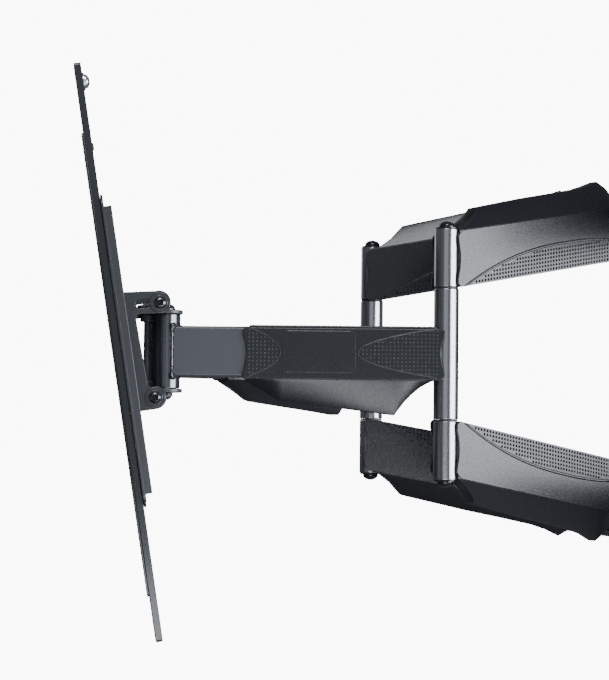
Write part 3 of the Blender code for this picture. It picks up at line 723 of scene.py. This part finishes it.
def belly_section(x, depth, bottom, inward=0.0):
    top = 0.0138 - 0.0030 * max(0.0, x - 0.150) / 0.05
    half = [(top - inward, -0.0262), (top - inward, -0.0270)]
    for s in (0.12, 0.28, 0.45, 0.62, 0.78, 0.90, 0.97):
        y = bottom + (top - bottom) * (1 - s) ** 0.8
        half.append((y - inward, -0.0270 - s * (depth - inward - 0.0270)))
    half.append((bottom - 0.0012 - inward, -(depth - inward)))
    return [(x, y, z) for y, z in half + [(-y, z) for y, z in reversed(half)]]


cap_profile = ([(0, 0), (0.0112, 0), (0.0118, 0.0004), (0.0118, 0.0012), (0.0112, 0.0017), (0.0083, 0.0019)]
               + [(0.0083 * math.cos(a), 0.0030 + 0.0052 * math.sin(a))
                  for a in (math.radians(10 * k) for k in range(0, 9))] + [(0, 0.0082)])

BORE = 0.0066  # bore of the posts, the knuckles and their washers
WASHER_HALF, WASHER_EDGE = 0.00085, 0.0003
POST_WASHER_R, PIVOT_WASHER_R = 0.0117, 0.0128
LID_HALF, LID_EDGE = 0.0128, 0.0012
BADGE_AT, BADGE_SIZE, BADGE_CORNER, BADGE_THICK = (0.1275, 0.0006), (0.073, 0.042), 0.006, 0.0012
RIM_WIDTH = 0.0011
ZONE_RIM_HALF = 0.0245
FORE_RIM_END = ((0.0074, -0.0262), (0.0029, -0.0235), (0.0029, -0.0190), (0.0059, -0.0100), (0.0075, 0.0010),
                (0.0055, 0.0110), (0.0029, 0.0180), (0.0033, 0.0225))
PAST_END = 0.02  # the hole for the tube runs past both of the arm's pivots

for side, sign in SIDES:
    on_arm = adder(SHOULDER[side], f"rear_arm_{side}")
    on_fore = adder(ELBOW[side], f"forearm_{side}")
    for label, level in LEVELS:
        tag = f"{label}_{side}"
        rise = -level * RISE
        middle = level * WALL_Z
        bar = arm_tube(0.008, ARM - 0.006, middle, rise)
        on_arm(f"rear_tube_{tag}", bar, GREY_PAINT, [f"rear_arm_{tag}"])
        on_arm(f"wall_knuckle_{tag}", lifted(tube(KNUCKLE_R, BORE, WALL_KNUCKLE), middle), KNUCKLE_PAINT)
        reach = math.sqrt(KNUCKLE_R ** 2 - HALF_W ** 2)
        tube_edges = [middle + rise * reach - HALF_H, middle + rise * reach + HALF_H]
        weld = bead(0, HALF_W, KNUCKLE_R, tube_edges, 2 + level + sign)
        on_arm(f"wall_weld_{tag}", moved(weld, Matrix.Rotation(math.pi, 4, "Z")), WELD)
        post_half = (POST_TOP - SEAM_HIGH) / 2
        post = moved(tube(POST_R, BORE, post_half), at(ARM, 0, level * (POST_TOP - post_half)))
        on_arm(f"elbow_post_{tag}", post, GLOSS)
        cap = moved(lathe(cap_profile, 56), at(ARM, 0, level * POST_TOP) @ (FLIP if level < 0 else Matrix()))
        on_arm(f"post_cap_{tag}", cap, CAP_GLOSS, [f"elbow_cap_{tag}"])
        ring = tube(POST_WASHER_R, BORE, WASHER_HALF, WASHER_EDGE)
        on_arm(f"elbow_washer_{tag}", moved(ring, at(ARM, 0, level * (SEAM_LOW + SEAM_HIGH) / 2)), NYLON)

        core = upright(plate(rear(panel, level), 2 * (COVER_Y - SKIN), edge=0.0002, steps=1))
        past = [(ARM + PAST_END, middle + rise * (ARM + PAST_END)), (-PAST_END, middle - rise * PAST_END)]
        hole = rounded_box((0, 0), 2 * HALF_W + 0.001, 2 * HALF_H + 0.001, 0.003, 3)
        channel = loft([[(x, y, z + dz) for y, dz in hole] for x, z in past])
        post_hole = moved(lathe([(0, -1), (POST_R + 0.0005, -1), (POST_R + 0.0005, 1), (0, 1)], 48),
                          at(ARM) @ Matrix.Diagonal((1, 1, 0.3, 1)))
        on_arm(f"cover_core_{tag}", cut(core, [channel, post_hole]), PLASTIC, [f"rear_cover_{tag}"])
        on_arm(f"cover_crest_{tag}", crest(level), PLASTIC)
        for face, out in (("outer", 1), ("inner", -1)):
            def on_face(outline, height, y_mid, edge=0.0003, holes=(), steps=2):
                shape = plate(rear(outline, level), height, [rear(h, level) for h in holes], edge, steps)
                return upright(shape, out * y_mid)
            half_skin = COVER_Y - SKIN / 2
            inward = out == -sign
            if inward:
                on_arm(f"cover_cheek_{tag}", on_face(cheek, 0.0010, COVER_Y - SKIN - 0.0005), PLASTIC)
            end = elbow_end(CHEEK_SHIFT if inward else 0.0)
            skin_outline = end + [(COVER_END, fold(COVER_END))] + zone_outer[::-1]
            foot = [(COVER_END, inner_edge(COVER_END))]
            holes = [circle(c, DOT_R, 8) for c in zone_dots()]
            # The floor behind the dot holes is near black: painted shade in the holes.
            for name, shape, paint in (
                ("skin", on_face(skin_outline, SKIN, half_skin, 0.0007, steps=4), PLASTIC),
                ("band", on_face(band_outer + band_inner[::-1], SKIN, half_skin), PLASTIC),
                ("inlay", on_face(inlay_top + foot, SKIN, half_skin, 0.0002, holes, 1), PLASTIC),
                ("floor", on_face(zone_outer + foot, 0.0004, COVER_Y - SKIN, 0.0001), PLASTIC_PAINTED_SHADE),
            ):
                on_arm(f"cover_{name}_{face}_{tag}", shape, paint)
    shaft = frame["nodes"][f"elbow_shaft_{side}"].data
    shaft.materials.clear()
    shaft.materials.append(OXIDE)

    on_fore(f"forearm_tube_{side}", arm_tube(0.006, ARM - 0.008, 0, 0), GREY_PAINT, [f"forearm_{side}"])
    on_fore(f"forearm_post_{side}", tube(POST_R, BORE, SEAM_LOW), GLOSS)
    on_fore(f"head_knuckle_{side}", moved(tube(KNUCKLE_R, BORE, HEAD_KNUCKLE), at(ARM)), KNUCKLE_PAINT)
    on_fore(f"head_weld_{side}", bead(ARM, HALF_W, KNUCKLE_R, (-HALF_H, HALF_H), 1.3 * sign), WELD)
    inner_half = COVER_Y - 0.0003
    on_fore(f"forearm_panel_{side}", upright(plate(fore_face, 2 * inner_half, edge=0.0010, steps=4)), PLASTIC,
            [f"forearm_cover_{side}"])
    lid = soften([(0.0080, TOP_EDGE - 0.004), (0.0080, 0.0250), (0.0105, FORE_HALF), (0.1960, FORE_HALF),
                  (0.1978, 0.0255), (0.1978, TOP_EDGE - 0.004)], LID_EDGE)
    on_fore(f"forearm_lid_{side}", upright(plate(lid, 2 * LID_HALF, edge=LID_EDGE, steps=4)), PLASTIC)
    # The rims, dots and end rims below take the lighter plastic: a painted highlight on the raised parts.
    for face, out in (("outer", 1), ("inner", -1)):
        for zone, apex, edge in (("elbow", NEAR_APEX, NEAR_EDGE), ("head", FAR_APEX, FAR_EDGE)):
            border = rim(parabola(apex, edge, ZONE_RIM_HALF), RIM_WIDTH, 0.0010)
            on_fore(f"forearm_rim_{zone}_{face}_{side}", upright(border, out * COVER_Y), PLASTIC_PAINTED_HIGHLIGHT)
            bumps = dots(zone_bumps(apex, edge), out * inner_half, out)
            on_fore(f"forearm_dots_{zone}_{face}_{side}", bumps, PLASTIC_PAINTED_HIGHLIGHT)
        end_rim = rim(soften(FORE_RIM_END, 0.0035, closed=False, steps=3), RIM_WIDTH, 0.0012)
        on_fore(f"forearm_rim_end_{face}_{side}", upright(end_rim, out * (COVER_Y - 0.0003)), PLASTIC_PAINTED_HIGHLIGHT)
        badge = plate(rounded_box(BADGE_AT, *BADGE_SIZE, BADGE_CORNER), BADGE_THICK, edge=0.0005)
        on_fore(f"forearm_badge_{face}_{side}", upright(badge, out * (COVER_Y - 0.0004)), PLASTIC)
    sections = [belly_section(*BELLY[0], inward=BELLY_EDGE)] + [belly_section(*row) for row in BELLY]
    sections.append(belly_section(*BELLY_STOP, inward=BELLY_EDGE))
    on_fore(f"forearm_belly_{side}", loft(sections), PLASTIC, [f"forearm_cable_cover_{side}"])

# ---- wall plate ----
plate_low, plate_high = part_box("wall_plate")
PLATE_W, PLATE_H = plate_high.x - plate_low.x, plate_high.z - plate_low.z
STEEL = 0.003
STUD_X, LAG_Z = 0.2032, 0.165
LAG_SLOT = (0.044, 0.009)
BOLT_X, BOLT_Z = 0.048, 0.028  # the bracket's screws, from its middle
BRACKET_STEEL = 0.004
BRACKET_SIZE, BRACKET_CORNER = (0.120, 0.082), 0.006
BRACKET_FACE = 0.0043  # front of the bracket's back, from the wall plate's front
BRACKET_PLATE_Y = -STEEL - 0.0023
EAR_HALF, EAR_TIP_R = 0.033, 0.015
EAR_GAP = 0.0018  # between a wall knuckle and the ears
FLANGE_BACK, FLANGE_FRONT, FLANGE_DEPTH, FLANGE_BEND = -0.0005, -0.0148, 0.012, 0.0022
FILLET_BACK, FILLET_R, FILLET_RISE, FILLET_SINK, FILLET_WIDTH = -0.0066, 0.0041, 0.0060, 0.0019, 0.064
SCREW_HEAD = (0.0055, 0.0032, 0.0020)  # small button heads: radius, height, socket radius
on_wall = adder(WALL, "wall")
bracket_bolts = [(x, level * WALL_Z + dz)
                 for _, level in LEVELS for x in (-BOLT_X, BOLT_X) for dz in (-BOLT_Z, BOLT_Z)]
lag_places = [(x, z) for x in (-STUD_X, STUD_X) for z in (-LAG_Z, LAG_Z)]
# The level bars lie outside BAR_INNER, and the upright part between them is as wide as COLUMN_HALF says.
BAR_INNER, COLUMN_HALF, CORNER = 0.132, 0.080, 0.010
corner_x, corner_z = PLATE_W / 2 - CORNER, PLATE_H / 2 - CORNER
upper_right = (arc((COLUMN_HALF + CORNER, BAR_INNER - CORNER), CORNER, 180, 90, 5)
               + arc((corner_x, BAR_INNER + CORNER), CORNER, -90, 0, 5)
               + arc((corner_x, corner_z), CORNER, 0, 90, 5))
upper_half = upper_right + [(-x, z) for x, z in reversed(upper_right)]
wall_outline = upper_half + [(-x, -z) for x, z in upper_half]
wall_back = plate(wall_outline, STEEL, [slot(p, *LAG_SLOT) for p in lag_places], 0.0007)
on_wall("wall_back", upright(wall_back, -STEEL / 2), WALL_PAINT, ["wall_plate"])
for label, level in LEVELS:
    edge_z = level * (PLATE_H / 2)
    deep_z, inner_z = edge_z - level * FLANGE_DEPTH, edge_z - level * STEEL
    bend = soften([(FLANGE_BACK, deep_z), (FLANGE_BACK, edge_z), (FLANGE_FRONT, edge_z),
                   (FLANGE_FRONT, inner_z), (-STEEL, inner_z), (-STEEL, deep_z)], FLANGE_BEND)
    on_wall(f"wall_flange_{label}", sideways(plate(bend, PLATE_W - 0.030, edge=0.0007)), WALL_PAINT)
    middle = level * WALL_Z
    back = plate(rounded_box((0, middle), *BRACKET_SIZE, BRACKET_CORNER), BRACKET_STEEL, edge=0.0007)
    on_wall(f"bracket_back_{label}", upright(back, BRACKET_PLATE_Y), BLACK_PAINT, [f"wall_bracket_{label}"])
    pivot_y = shoulder_of["right"].y
    ear = ([(EAR_HALF, -STEEL - 0.003), (-EAR_HALF, -STEEL - 0.003)]
           + arc((-PIVOT_X, pivot_y), EAR_TIP_R, 180, 270, 8)
           + arc((PIVOT_X, pivot_y), EAR_TIP_R, 270, 360, 8))
    ear_z = WALL_KNUCKLE + EAR_GAP + BRACKET_STEEL / 2
    for where, lift in (("top", ear_z), ("bottom", -ear_z)):
        shape = plate(ear, BRACKET_STEEL, edge=0.0009, steps=3)
        on_wall(f"bracket_ear_{where}_{label}", lifted(shape, middle + lift), BLACK_PAINT)
        for s in (-1, 1):
            foot_z, top_z = middle + lift + s * FILLET_SINK, middle + lift + s * FILLET_RISE
            curl = [(FILLET_BACK, foot_z), (FILLET_BACK, top_z),
                    *arc((FILLET_BACK - FILLET_R, top_z), FILLET_R, 0, -s * 90, 6)[1:]]
            on_wall(f"bracket_fillet_{where}_{'over' if s > 0 else 'under'}_{label}",
                    sideways(plate(curl, FILLET_WIDTH, edge=0.0001, steps=1)), WELD, slot_name="black_steel")
    face = WALL_KNUCKLE + EAR_GAP + 0.0043
    for side, sign in SIDES:
        on_pin = adder(at(sign * PIVOT_X, pivot_y, middle), "wall")
        tag = f"{label}_{side}"
        on_pin(f"wall_pin_head_{tag}", lifted(button_head(0.0105, 0.006, 0.0046), face), OXIDE,
               [f"wall_pivot_pin_{tag}"])
        on_pin(f"wall_pin_shank_{tag}", shank(0.0063, -face - 0.0075, face + 0.001), OXIDE)
        on_pin(f"wall_pin_nut_{tag}", lifted(hex_nut(0.0095, 0.0062), -face, under=True), OXIDE)
        for where, s in (("top", 1), ("bottom", -1)):
            ring = tube(PIVOT_WASHER_R, BORE, WASHER_HALF, WASHER_EDGE)
            on_pin(f"wall_pin_washer_{where}_{tag}", lifted(ring, s * (WALL_KNUCKLE + EAR_GAP / 2)), NYLON)
        on_lag = adder(at(sign * STUD_X, -STEEL, level * LAG_Z) @ FLAT, "wall")
        on_lag(f"lag_washer_{tag}", washer(0.0110, 0.0042, 0.0016), ZINC)
        on_lag(f"lag_head_{tag}", lifted(hex_nut(0.0075, 0.0055, 10), 0.0016), ZINC, [f"lag_screw_{tag}"])
for i, (x, z) in enumerate(bracket_bolts):
    add(f"bracket_screw_{i}", button_head(*SCREW_HEAD), at(x, -STEEL - BRACKET_FACE, z) @ FLAT, "wall", OXIDE)

# ---- yoke ----
forward = head_pivot["right"].y - pivot["head_swivel"].y
PIN_R = 0.0042
YOKE_STEEL, YOKE_END_R, YOKE_NOSE_R = 0.004, 0.016, 0.0115
COLLAR_R, COLLAR_HALF = 0.0075, 0.0035
DOME_R, DOME_FOOT, DOME_HEIGHT = 0.0082, 0.0012, 0.0052
CROWN_SCALE = (0.66, 0.62)  # the bolt's lower end beside its head, in radius and height
on_yoke = adder(YOKE, "yoke")
yoke_outline = (arc((PIVOT_X, 0), YOKE_END_R, -30, 90, 16) + arc((-PIVOT_X, 0), YOKE_END_R, 90, 210, 16)
                + arc((0, -forward), YOKE_NOSE_R, 215, 325, 12))
yoke_mid = HEAD_KNUCKLE + 0.0003 + YOKE_STEEL / 2
yoke_face = yoke_mid + 0.0023
for label, level in LEVELS:
    shape = plate(yoke_outline, YOKE_STEEL, edge=0.0009, steps=3)
    on_yoke(f"yoke_{label}", lifted(shape, level * yoke_mid), GREY_PAINT, [f"yoke_plate_{label}"])
    collar = tube(COLLAR_R, PIN_R, COLLAR_HALF, 0.0009)
    collar_at = at(0, -forward, level * (HEAD_KNUCKLE - COLLAR_HALF))
    on_yoke(f"swivel_collar_{label}", moved(collar, collar_at), GREY_PAINT, [f"swivel_bushing_{label}"])
dome = [(0, -0.001), (DOME_R, -0.001), (DOME_R, DOME_FOOT)]
dome += [(DOME_R * math.cos(a), DOME_FOOT + DOME_HEIGHT * math.sin(a))
         for a in (math.radians(15 * k) for k in range(1, 6))]
dome += [(0, DOME_FOOT + DOME_HEIGHT)]
for side, sign in SIDES:
    on_bolt = adder(at(sign * PIVOT_X, head_pivot["right"].y, 0), "yoke")
    on_bolt(f"head_bolt_{side}", lifted(lathe(dome, 40), yoke_face), OXIDE, [f"head_pivot_bolt_{side}"])
    on_bolt(f"head_bolt_shank_{side}", shank(0.0063, -yoke_face, yoke_face), OXIDE)
    on_bolt(f"head_bolt_nut_{side}", lifted(hex_nut(0.0068, 0.0040), -yoke_face, under=True), OXIDE)
    crown = lathe([(r * CROWN_SCALE[0], z * CROWN_SCALE[1]) for r, z in dome], 40)
    on_bolt(f"head_bolt_crown_{side}", lifted(crown, -yoke_face - 0.0030, under=True), OXIDE)

# ---- swivel head ----
EAR_X, EAR_STEEL, HAT_STEEL = 0.0395, 0.0032, 0.0032
EAR_OUT = EAR_X + EAR_STEEL
HAT_CORNER, HAT_BACK, HAT_NOSE_R, HAT_EAR_R = -0.0075, -0.0005, 0.0090, 0.0100
SIDE_GAP, SIDE_STEEL = 0.0003, 0.0030  # between an ear and a tilt side plate, and the plate's thickness
BOLT_BORE, BOLT_HEAD, BOLT_LIFT = 0.0042, (0.0060, 0.0032, 0.0036), 0.0016
on_head = adder(SWIVEL, "swivel_head")
hat_z = yoke_face + HAT_STEEL / 2
TILT_AT = SWIVEL.inverted() @ pivot["screen_tilt"]
LOCK = (0.0110, 0.0467)
bolt_at = {"upper": LOCK, "lower": (TILT_AT.y, TILT_AT.z)}
hat_half = [(0.030, -0.0110), (EAR_OUT, HAT_CORNER), (EAR_OUT, HAT_BACK), (HAT_NOSE_R, HAT_BACK)]
hat_outline = hat_half + arc((0, 0), HAT_NOSE_R, 10, 170, 16) + [(-x, y) for x, y in reversed(hat_half)]
for label, level in LEVELS:
    y, z = bolt_at[label]
    hat = plate(hat_outline, HAT_STEEL, edge=0.0008, steps=3)
    on_head(f"hat_{label}", lifted(hat, level * hat_z), BLACK_PAINT, [f"swivel_bracket_{label}"])
    low = level * (hat_z - 0.0010)
    ear = [(y + 0.005, low), *arc((y, z), HAT_EAR_R, 0, level * 180, 16), (HAT_CORNER, low)]
    for side, sign in SIDES:
        ear_plate = sideways(plate(ear, EAR_STEEL, edge=0.0007), sign * (EAR_X + EAR_STEEL / 2))
        on_head(f"hat_ear_{label}_{side}", ear_plate, BLACK_PAINT)
pin_top = hat_z + HAT_STEEL / 2
on_head("swivel_pin_shaft", shank(0.0039, -pin_top - 0.001, pin_top + 0.001), GREY_PAINT, ["swivel_pin"])
on_head("swivel_pin_head", lifted(button_head(0.0070, 0.0042, 0.0026), pin_top), OXIDE)
on_head("swivel_pin_nut", lifted(hex_nut(0.0070, 0.0048), -pin_top, under=True), OXIDE)
side_inner = EAR_OUT + SIDE_GAP
side_outer = side_inner + SIDE_STEEL
grip = side_outer - EAR_X
for node, label in (("tilt_pivot_bolt", "lower"), ("tilt_lock_bolt", "upper")):
    y, z = bolt_at[label]
    for side, sign in SIDES:
        outward = Matrix.Rotation(sign * math.pi / 2, 4, "Y")
        on_bolt = adder(SWIVEL @ at(sign * side_outer, y, z) @ outward, "swivel_head")
        on_bolt(f"{node}_head_{side}", lifted(button_head(*BOLT_HEAD), BOLT_LIFT), OXIDE, [f"{node}_{side}"])
        # A near-black disc on the socket's floor: painted shade in the hollow.
        socket_painted_shade = plate(hex_loop(0.0035), 0.0004, edge=0.00005, steps=1)
        on_bolt(f"{node}_recess_{side}", lifted(socket_painted_shade, BOLT_LIFT + 0.35 * BOLT_HEAD[1]), PLASTIC_PAINTED_SHADE,
                slot_name="black_oxide")
        on_bolt(f"{node}_washer_{side}", washer(0.0100, BOLT_BORE, 0.0012, 0.0004), OXIDE)
        on_bolt(f"{node}_collar_{side}", washer(0.0074, BOLT_BORE, 0.0018, 0.0003), OXIDE)
        on_bolt(f"{node}_nut_{side}", lifted(hex_nut(0.0050, 0.0033), -grip, under=True), OXIDE)
        on_bolt(f"{node}_shank_{side}", shank(0.0036, -grip - 0.0035, 0.001), OXIDE)

# ---- screen side ----
SCREEN_BACK = -0.020
SHEET, SHEET_GAP = 0.0022, 0.0003
UPPER_EAR, UPPER_EAR_R, PIVOT_EAR_R = (0.0172, 0.0925), 0.0117, 0.0115
SIDE_TOP = 0.1075
on_screen = adder(TILT, "tilt_head")
slot_radius = math.hypot(LOCK[0] - TILT_AT.y, LOCK[1] - TILT_AT.z)
slot_half = 0.0046
ends = (90.8, 78.0)
arc_slot = (arc((0, 0), slot_radius + slot_half, *ends, 10)
            + arc(polar((0, 0), slot_radius, ends[1]), slot_half, ends[1], ends[1] - 180, 8)[1:-1]
            + arc((0, 0), slot_radius - slot_half, *reversed(ends), 10)
            + arc(polar((0, 0), slot_radius, ends[0]), slot_half, ends[0] + 180, ends[0], 8)[1:-1])
base_y, strip_y = SCREEN_BACK + 0.0003, SCREEN_BACK + 0.0125
strip = [(strip_y + 0.0045, 0.0106), (strip_y + 0.0022, 0.0135), (strip_y, 0.0800), (strip_y + 0.003, 0.0838)]
side_outline = ([(base_y, -PIVOT_EAR_R)] + arc((0, 0), PIVOT_EAR_R, -90, 70, 16)
                + soften(strip, 0.0015, closed=False) + arc(UPPER_EAR, UPPER_EAR_R, -80, 100, 20)
                + [(base_y, SIDE_TOP)])
for side, sign in SIDES:
    side_plate = plate(side_outline, SIDE_STEEL, [circle((0, 0), 0.0043), arc_slot], 0.0007, 3)
    on_screen(f"tilt_plate_{side}", sideways(side_plate, sign * (side_inner + SIDE_STEEL / 2)), BLACK_PAINT,
              [f"tilt_side_plate_{side}"])
screw_places = [(x, TIE_Z + z) for x in (-0.030, 0.030) for z in (-0.0617, 0.0633)]
rail_x, bolt_z = 0.200, 0.125
windows = [rounded_box((x, TIE_Z), 0.120, 0.190, 0.012) for x in (-0.150, 0.150)]
sheets = (("head_plate", "head_sheet", 0.104, 0.142, 0.008, [rounded_box((0, 0.088), 0.078, 0.024, 0.004)]),
          ("carrier_plate", "carrier_sheet", 0.130, 0.288, 0.010, []),
          ("screen_plate", "screen_sheet", 0.440, 0.282, 0.012, windows))
sheet_y = SCREEN_BACK
for node, name, width, height, corner, openings in sheets:
    shape = plate(rounded_box((0, TIE_Z), width, height, corner), SHEET, openings, 0.0005)
    on_screen(name, upright(shape, sheet_y - SHEET / 2), BLACK_PAINT, [node])
    sheet_y -= SHEET + SHEET_GAP
for side, sign in SIDES:
    lip = plate(rounded_box((sign * 0.21875, -0.02265), SHEET, 0.0085, 0.0008, 3), 0.258, edge=0.0006)
    on_screen(f"screen_flange_{side}", lifted(lip, TIE_Z), BLACK_PAINT)
for i, (x, z) in enumerate(screw_places):
    add(f"sheet_screw_{i}", button_head(*SCREW_HEAD), TILT @ at(x, SCREEN_BACK, z) @ FLAT @ FLIP, "tilt_head",
        OXIDE)
RAIL_DEPTH, RAIL_HALF, RAIL_L, RAIL_LIP = 0.0067, 0.015, 0.520, 0.0018
SCREEN_SCREWS = (("upper", 0.2452), ("lower", -0.0548))
RAIL_SLOTS, RAIL_SLOT = (-0.232, -0.200, -0.168, 0.168, 0.200), (0.022, 0.008)
section_half = [(RAIL_HALF, 0), (RAIL_HALF, -RAIL_DEPTH), (0.009, -RAIL_DEPTH),
                (0.009, RAIL_LIP - RAIL_DEPTH), (RAIL_HALF - SHEET, RAIL_LIP - RAIL_DEPTH),
                (RAIL_HALF - SHEET, -SHEET)]
rail_section = soften(section_half + [(-x, y) for x, y in reversed(section_half)], 0.0009, steps=3)
for side, sign in SIDES:
    outlines = [circle((0, z), 0.0043) for _, z in SCREEN_SCREWS]
    outlines += [slot((0, z), *RAIL_SLOT, 90) for z in RAIL_SLOTS]
    openings = [upright(plate(outline, 0.006, edge=0.0001, steps=1)) for outline in outlines]
    rail = cut(plate(rail_section, RAIL_L, edge=0.0022, steps=3), openings)
    add(f"rail_{side}", rail, TILT @ at(sign * rail_x, sheet_y, TIE_Z), "tilt_head", RAIL_PAINT,
        [f"screen_rail_{side}"])
    for where, z in (("top", bolt_z), ("bottom", -bolt_z)):
        bolt = TILT @ at(sign * rail_x, SCREEN_BACK - 2 * (SHEET + SHEET_GAP), TIE_Z + z) @ FLAT @ FLIP
        add(f"rail_bolt_{where}_{side}", button_head(*SCREW_HEAD), bolt, "tilt_head", OXIDE)
    for label, z in SCREEN_SCREWS:
        on_screw = adder(TILT @ at(sign * rail_x, sheet_y, TIE_Z + z) @ FLAT @ FLIP, "tilt_head")
        node = f"screen_screw_{label}_{side}"
        on_screw(f"{node}_washer", washer(0.0080, BOLT_BORE, 0.0014), ZINC)
        on_screw(f"{node}_head", lifted(button_head(0.0064, 0.0044, 0.0028), 0.0014), ZINC, [node])
        on_screw(f"{node}_shank", shank(0.0038, -0.0065, 0.002), ZINC)

# ---- floor, light and camera ----
FLOOR_Z = cad_box[0].z - 0.90
BACKDROP_LEVEL = 10.0  # how bright the floor and the background are to the camera
floor_paint = bpy.data.materials.new("pale_floor")
floor_paint.use_nodes = True
floor_shader = floor_paint.node_tree.nodes["Principled BSDF"]
floor_shader.inputs["Base Color"].default_value = (0.25, 0.25, 0.26, 1)
floor_shader.inputs["Roughness"].default_value = 0.9
floor_shader.inputs["Emission Color"].default_value = (1, 1, 1, 1)
camera_only(floor_paint.node_tree, floor_shader.inputs["Emission Strength"], 0.0, BACKDROP_LEVEL)
FLOOR_R, FLOOR_THICK = 30.0, 0.02
floor_shape = plate(circle((0, 0), FLOOR_R, 96), FLOOR_THICK, edge=0.005)
floor = bpy.data.objects.new("floor", lifted(floor_shape, FLOOR_Z - FLOOR_THICK / 2))
bpy.context.scene.collection.objects.link(floor)
floor.data.materials.append(floor_paint)

world = bpy.data.worlds.new("studio")
world.use_nodes = True
bpy.context.scene.world = world
sky = world.node_tree.nodes["Background"]
sky.inputs["Color"].default_value = (1, 1, 1, 1)
camera_only(world.node_tree, sky.inputs["Strength"], 0.18, BACKDROP_LEVEL)


def softbox(name, azimuth, height, distance, width, tall, power, target=(0.0, -0.35, 0.0)):
    """An area light seen from the target at an azimuth in degrees from +X, facing the target."""
    aim = Vector(target)
    place = aim + Vector((*polar((0, 0), distance, azimuth), height))
    lamp = bpy.data.lights.new(name, "AREA")
    lamp.shape = "RECTANGLE"
    lamp.size, lamp.size_y = width, tall
    lamp.energy = power
    lamp.color = (0.92, 0.96, 1.0)
    made = bpy.data.objects.new(name, lamp)
    made.location = place
    made.rotation_euler = (place - aim).to_track_quat("Z", "Y").to_euler()
    bpy.context.scene.collection.objects.link(made)


softbox("key", 44, 0.10, 2.3, 2.0, 0.9, 85)
softbox("fill", -25, 0.0, 2.4, 1.6, 1.6, 4.5)
softbox("top", -20, 1.75, 1.9, 1.0, 1.0, 42)
softbox("low", -17, -0.37, 0.95, 0.6, 0.20, 3.4)
softbox("back", 200, 1.0, 2.6, 1.6, 1.6, 8)

CAMERA_AT = (1.7638, -1.0080, -0.0636)
AZIMUTH, ELEVATION, ROLL = math.radians(71.70), math.radians(2.44), math.radians(0.586)
ahead = Vector((-math.sin(AZIMUTH) * math.cos(ELEVATION), math.cos(AZIMUTH) * math.cos(ELEVATION),
                math.sin(ELEVATION)))
level_right = Vector((math.cos(AZIMUTH), math.sin(AZIMUTH), 0))
upward = level_right.cross(ahead)
right = level_right * math.cos(ROLL) + upward * math.sin(ROLL)
lens = bpy.data.cameras.new("camera")
lens.lens = 94.78
lens.sensor_width = 36.0
lens.clip_start, lens.clip_end = 0.01, 100.0
camera = bpy.data.objects.new("camera", lens)
camera.matrix_world = (Matrix.Translation(CAMERA_AT)
                       @ Matrix((right, right.cross(ahead), -ahead)).transposed().to_4x4())
bpy.context.scene.collection.objects.link(camera)
bpy.context.scene.camera = camera
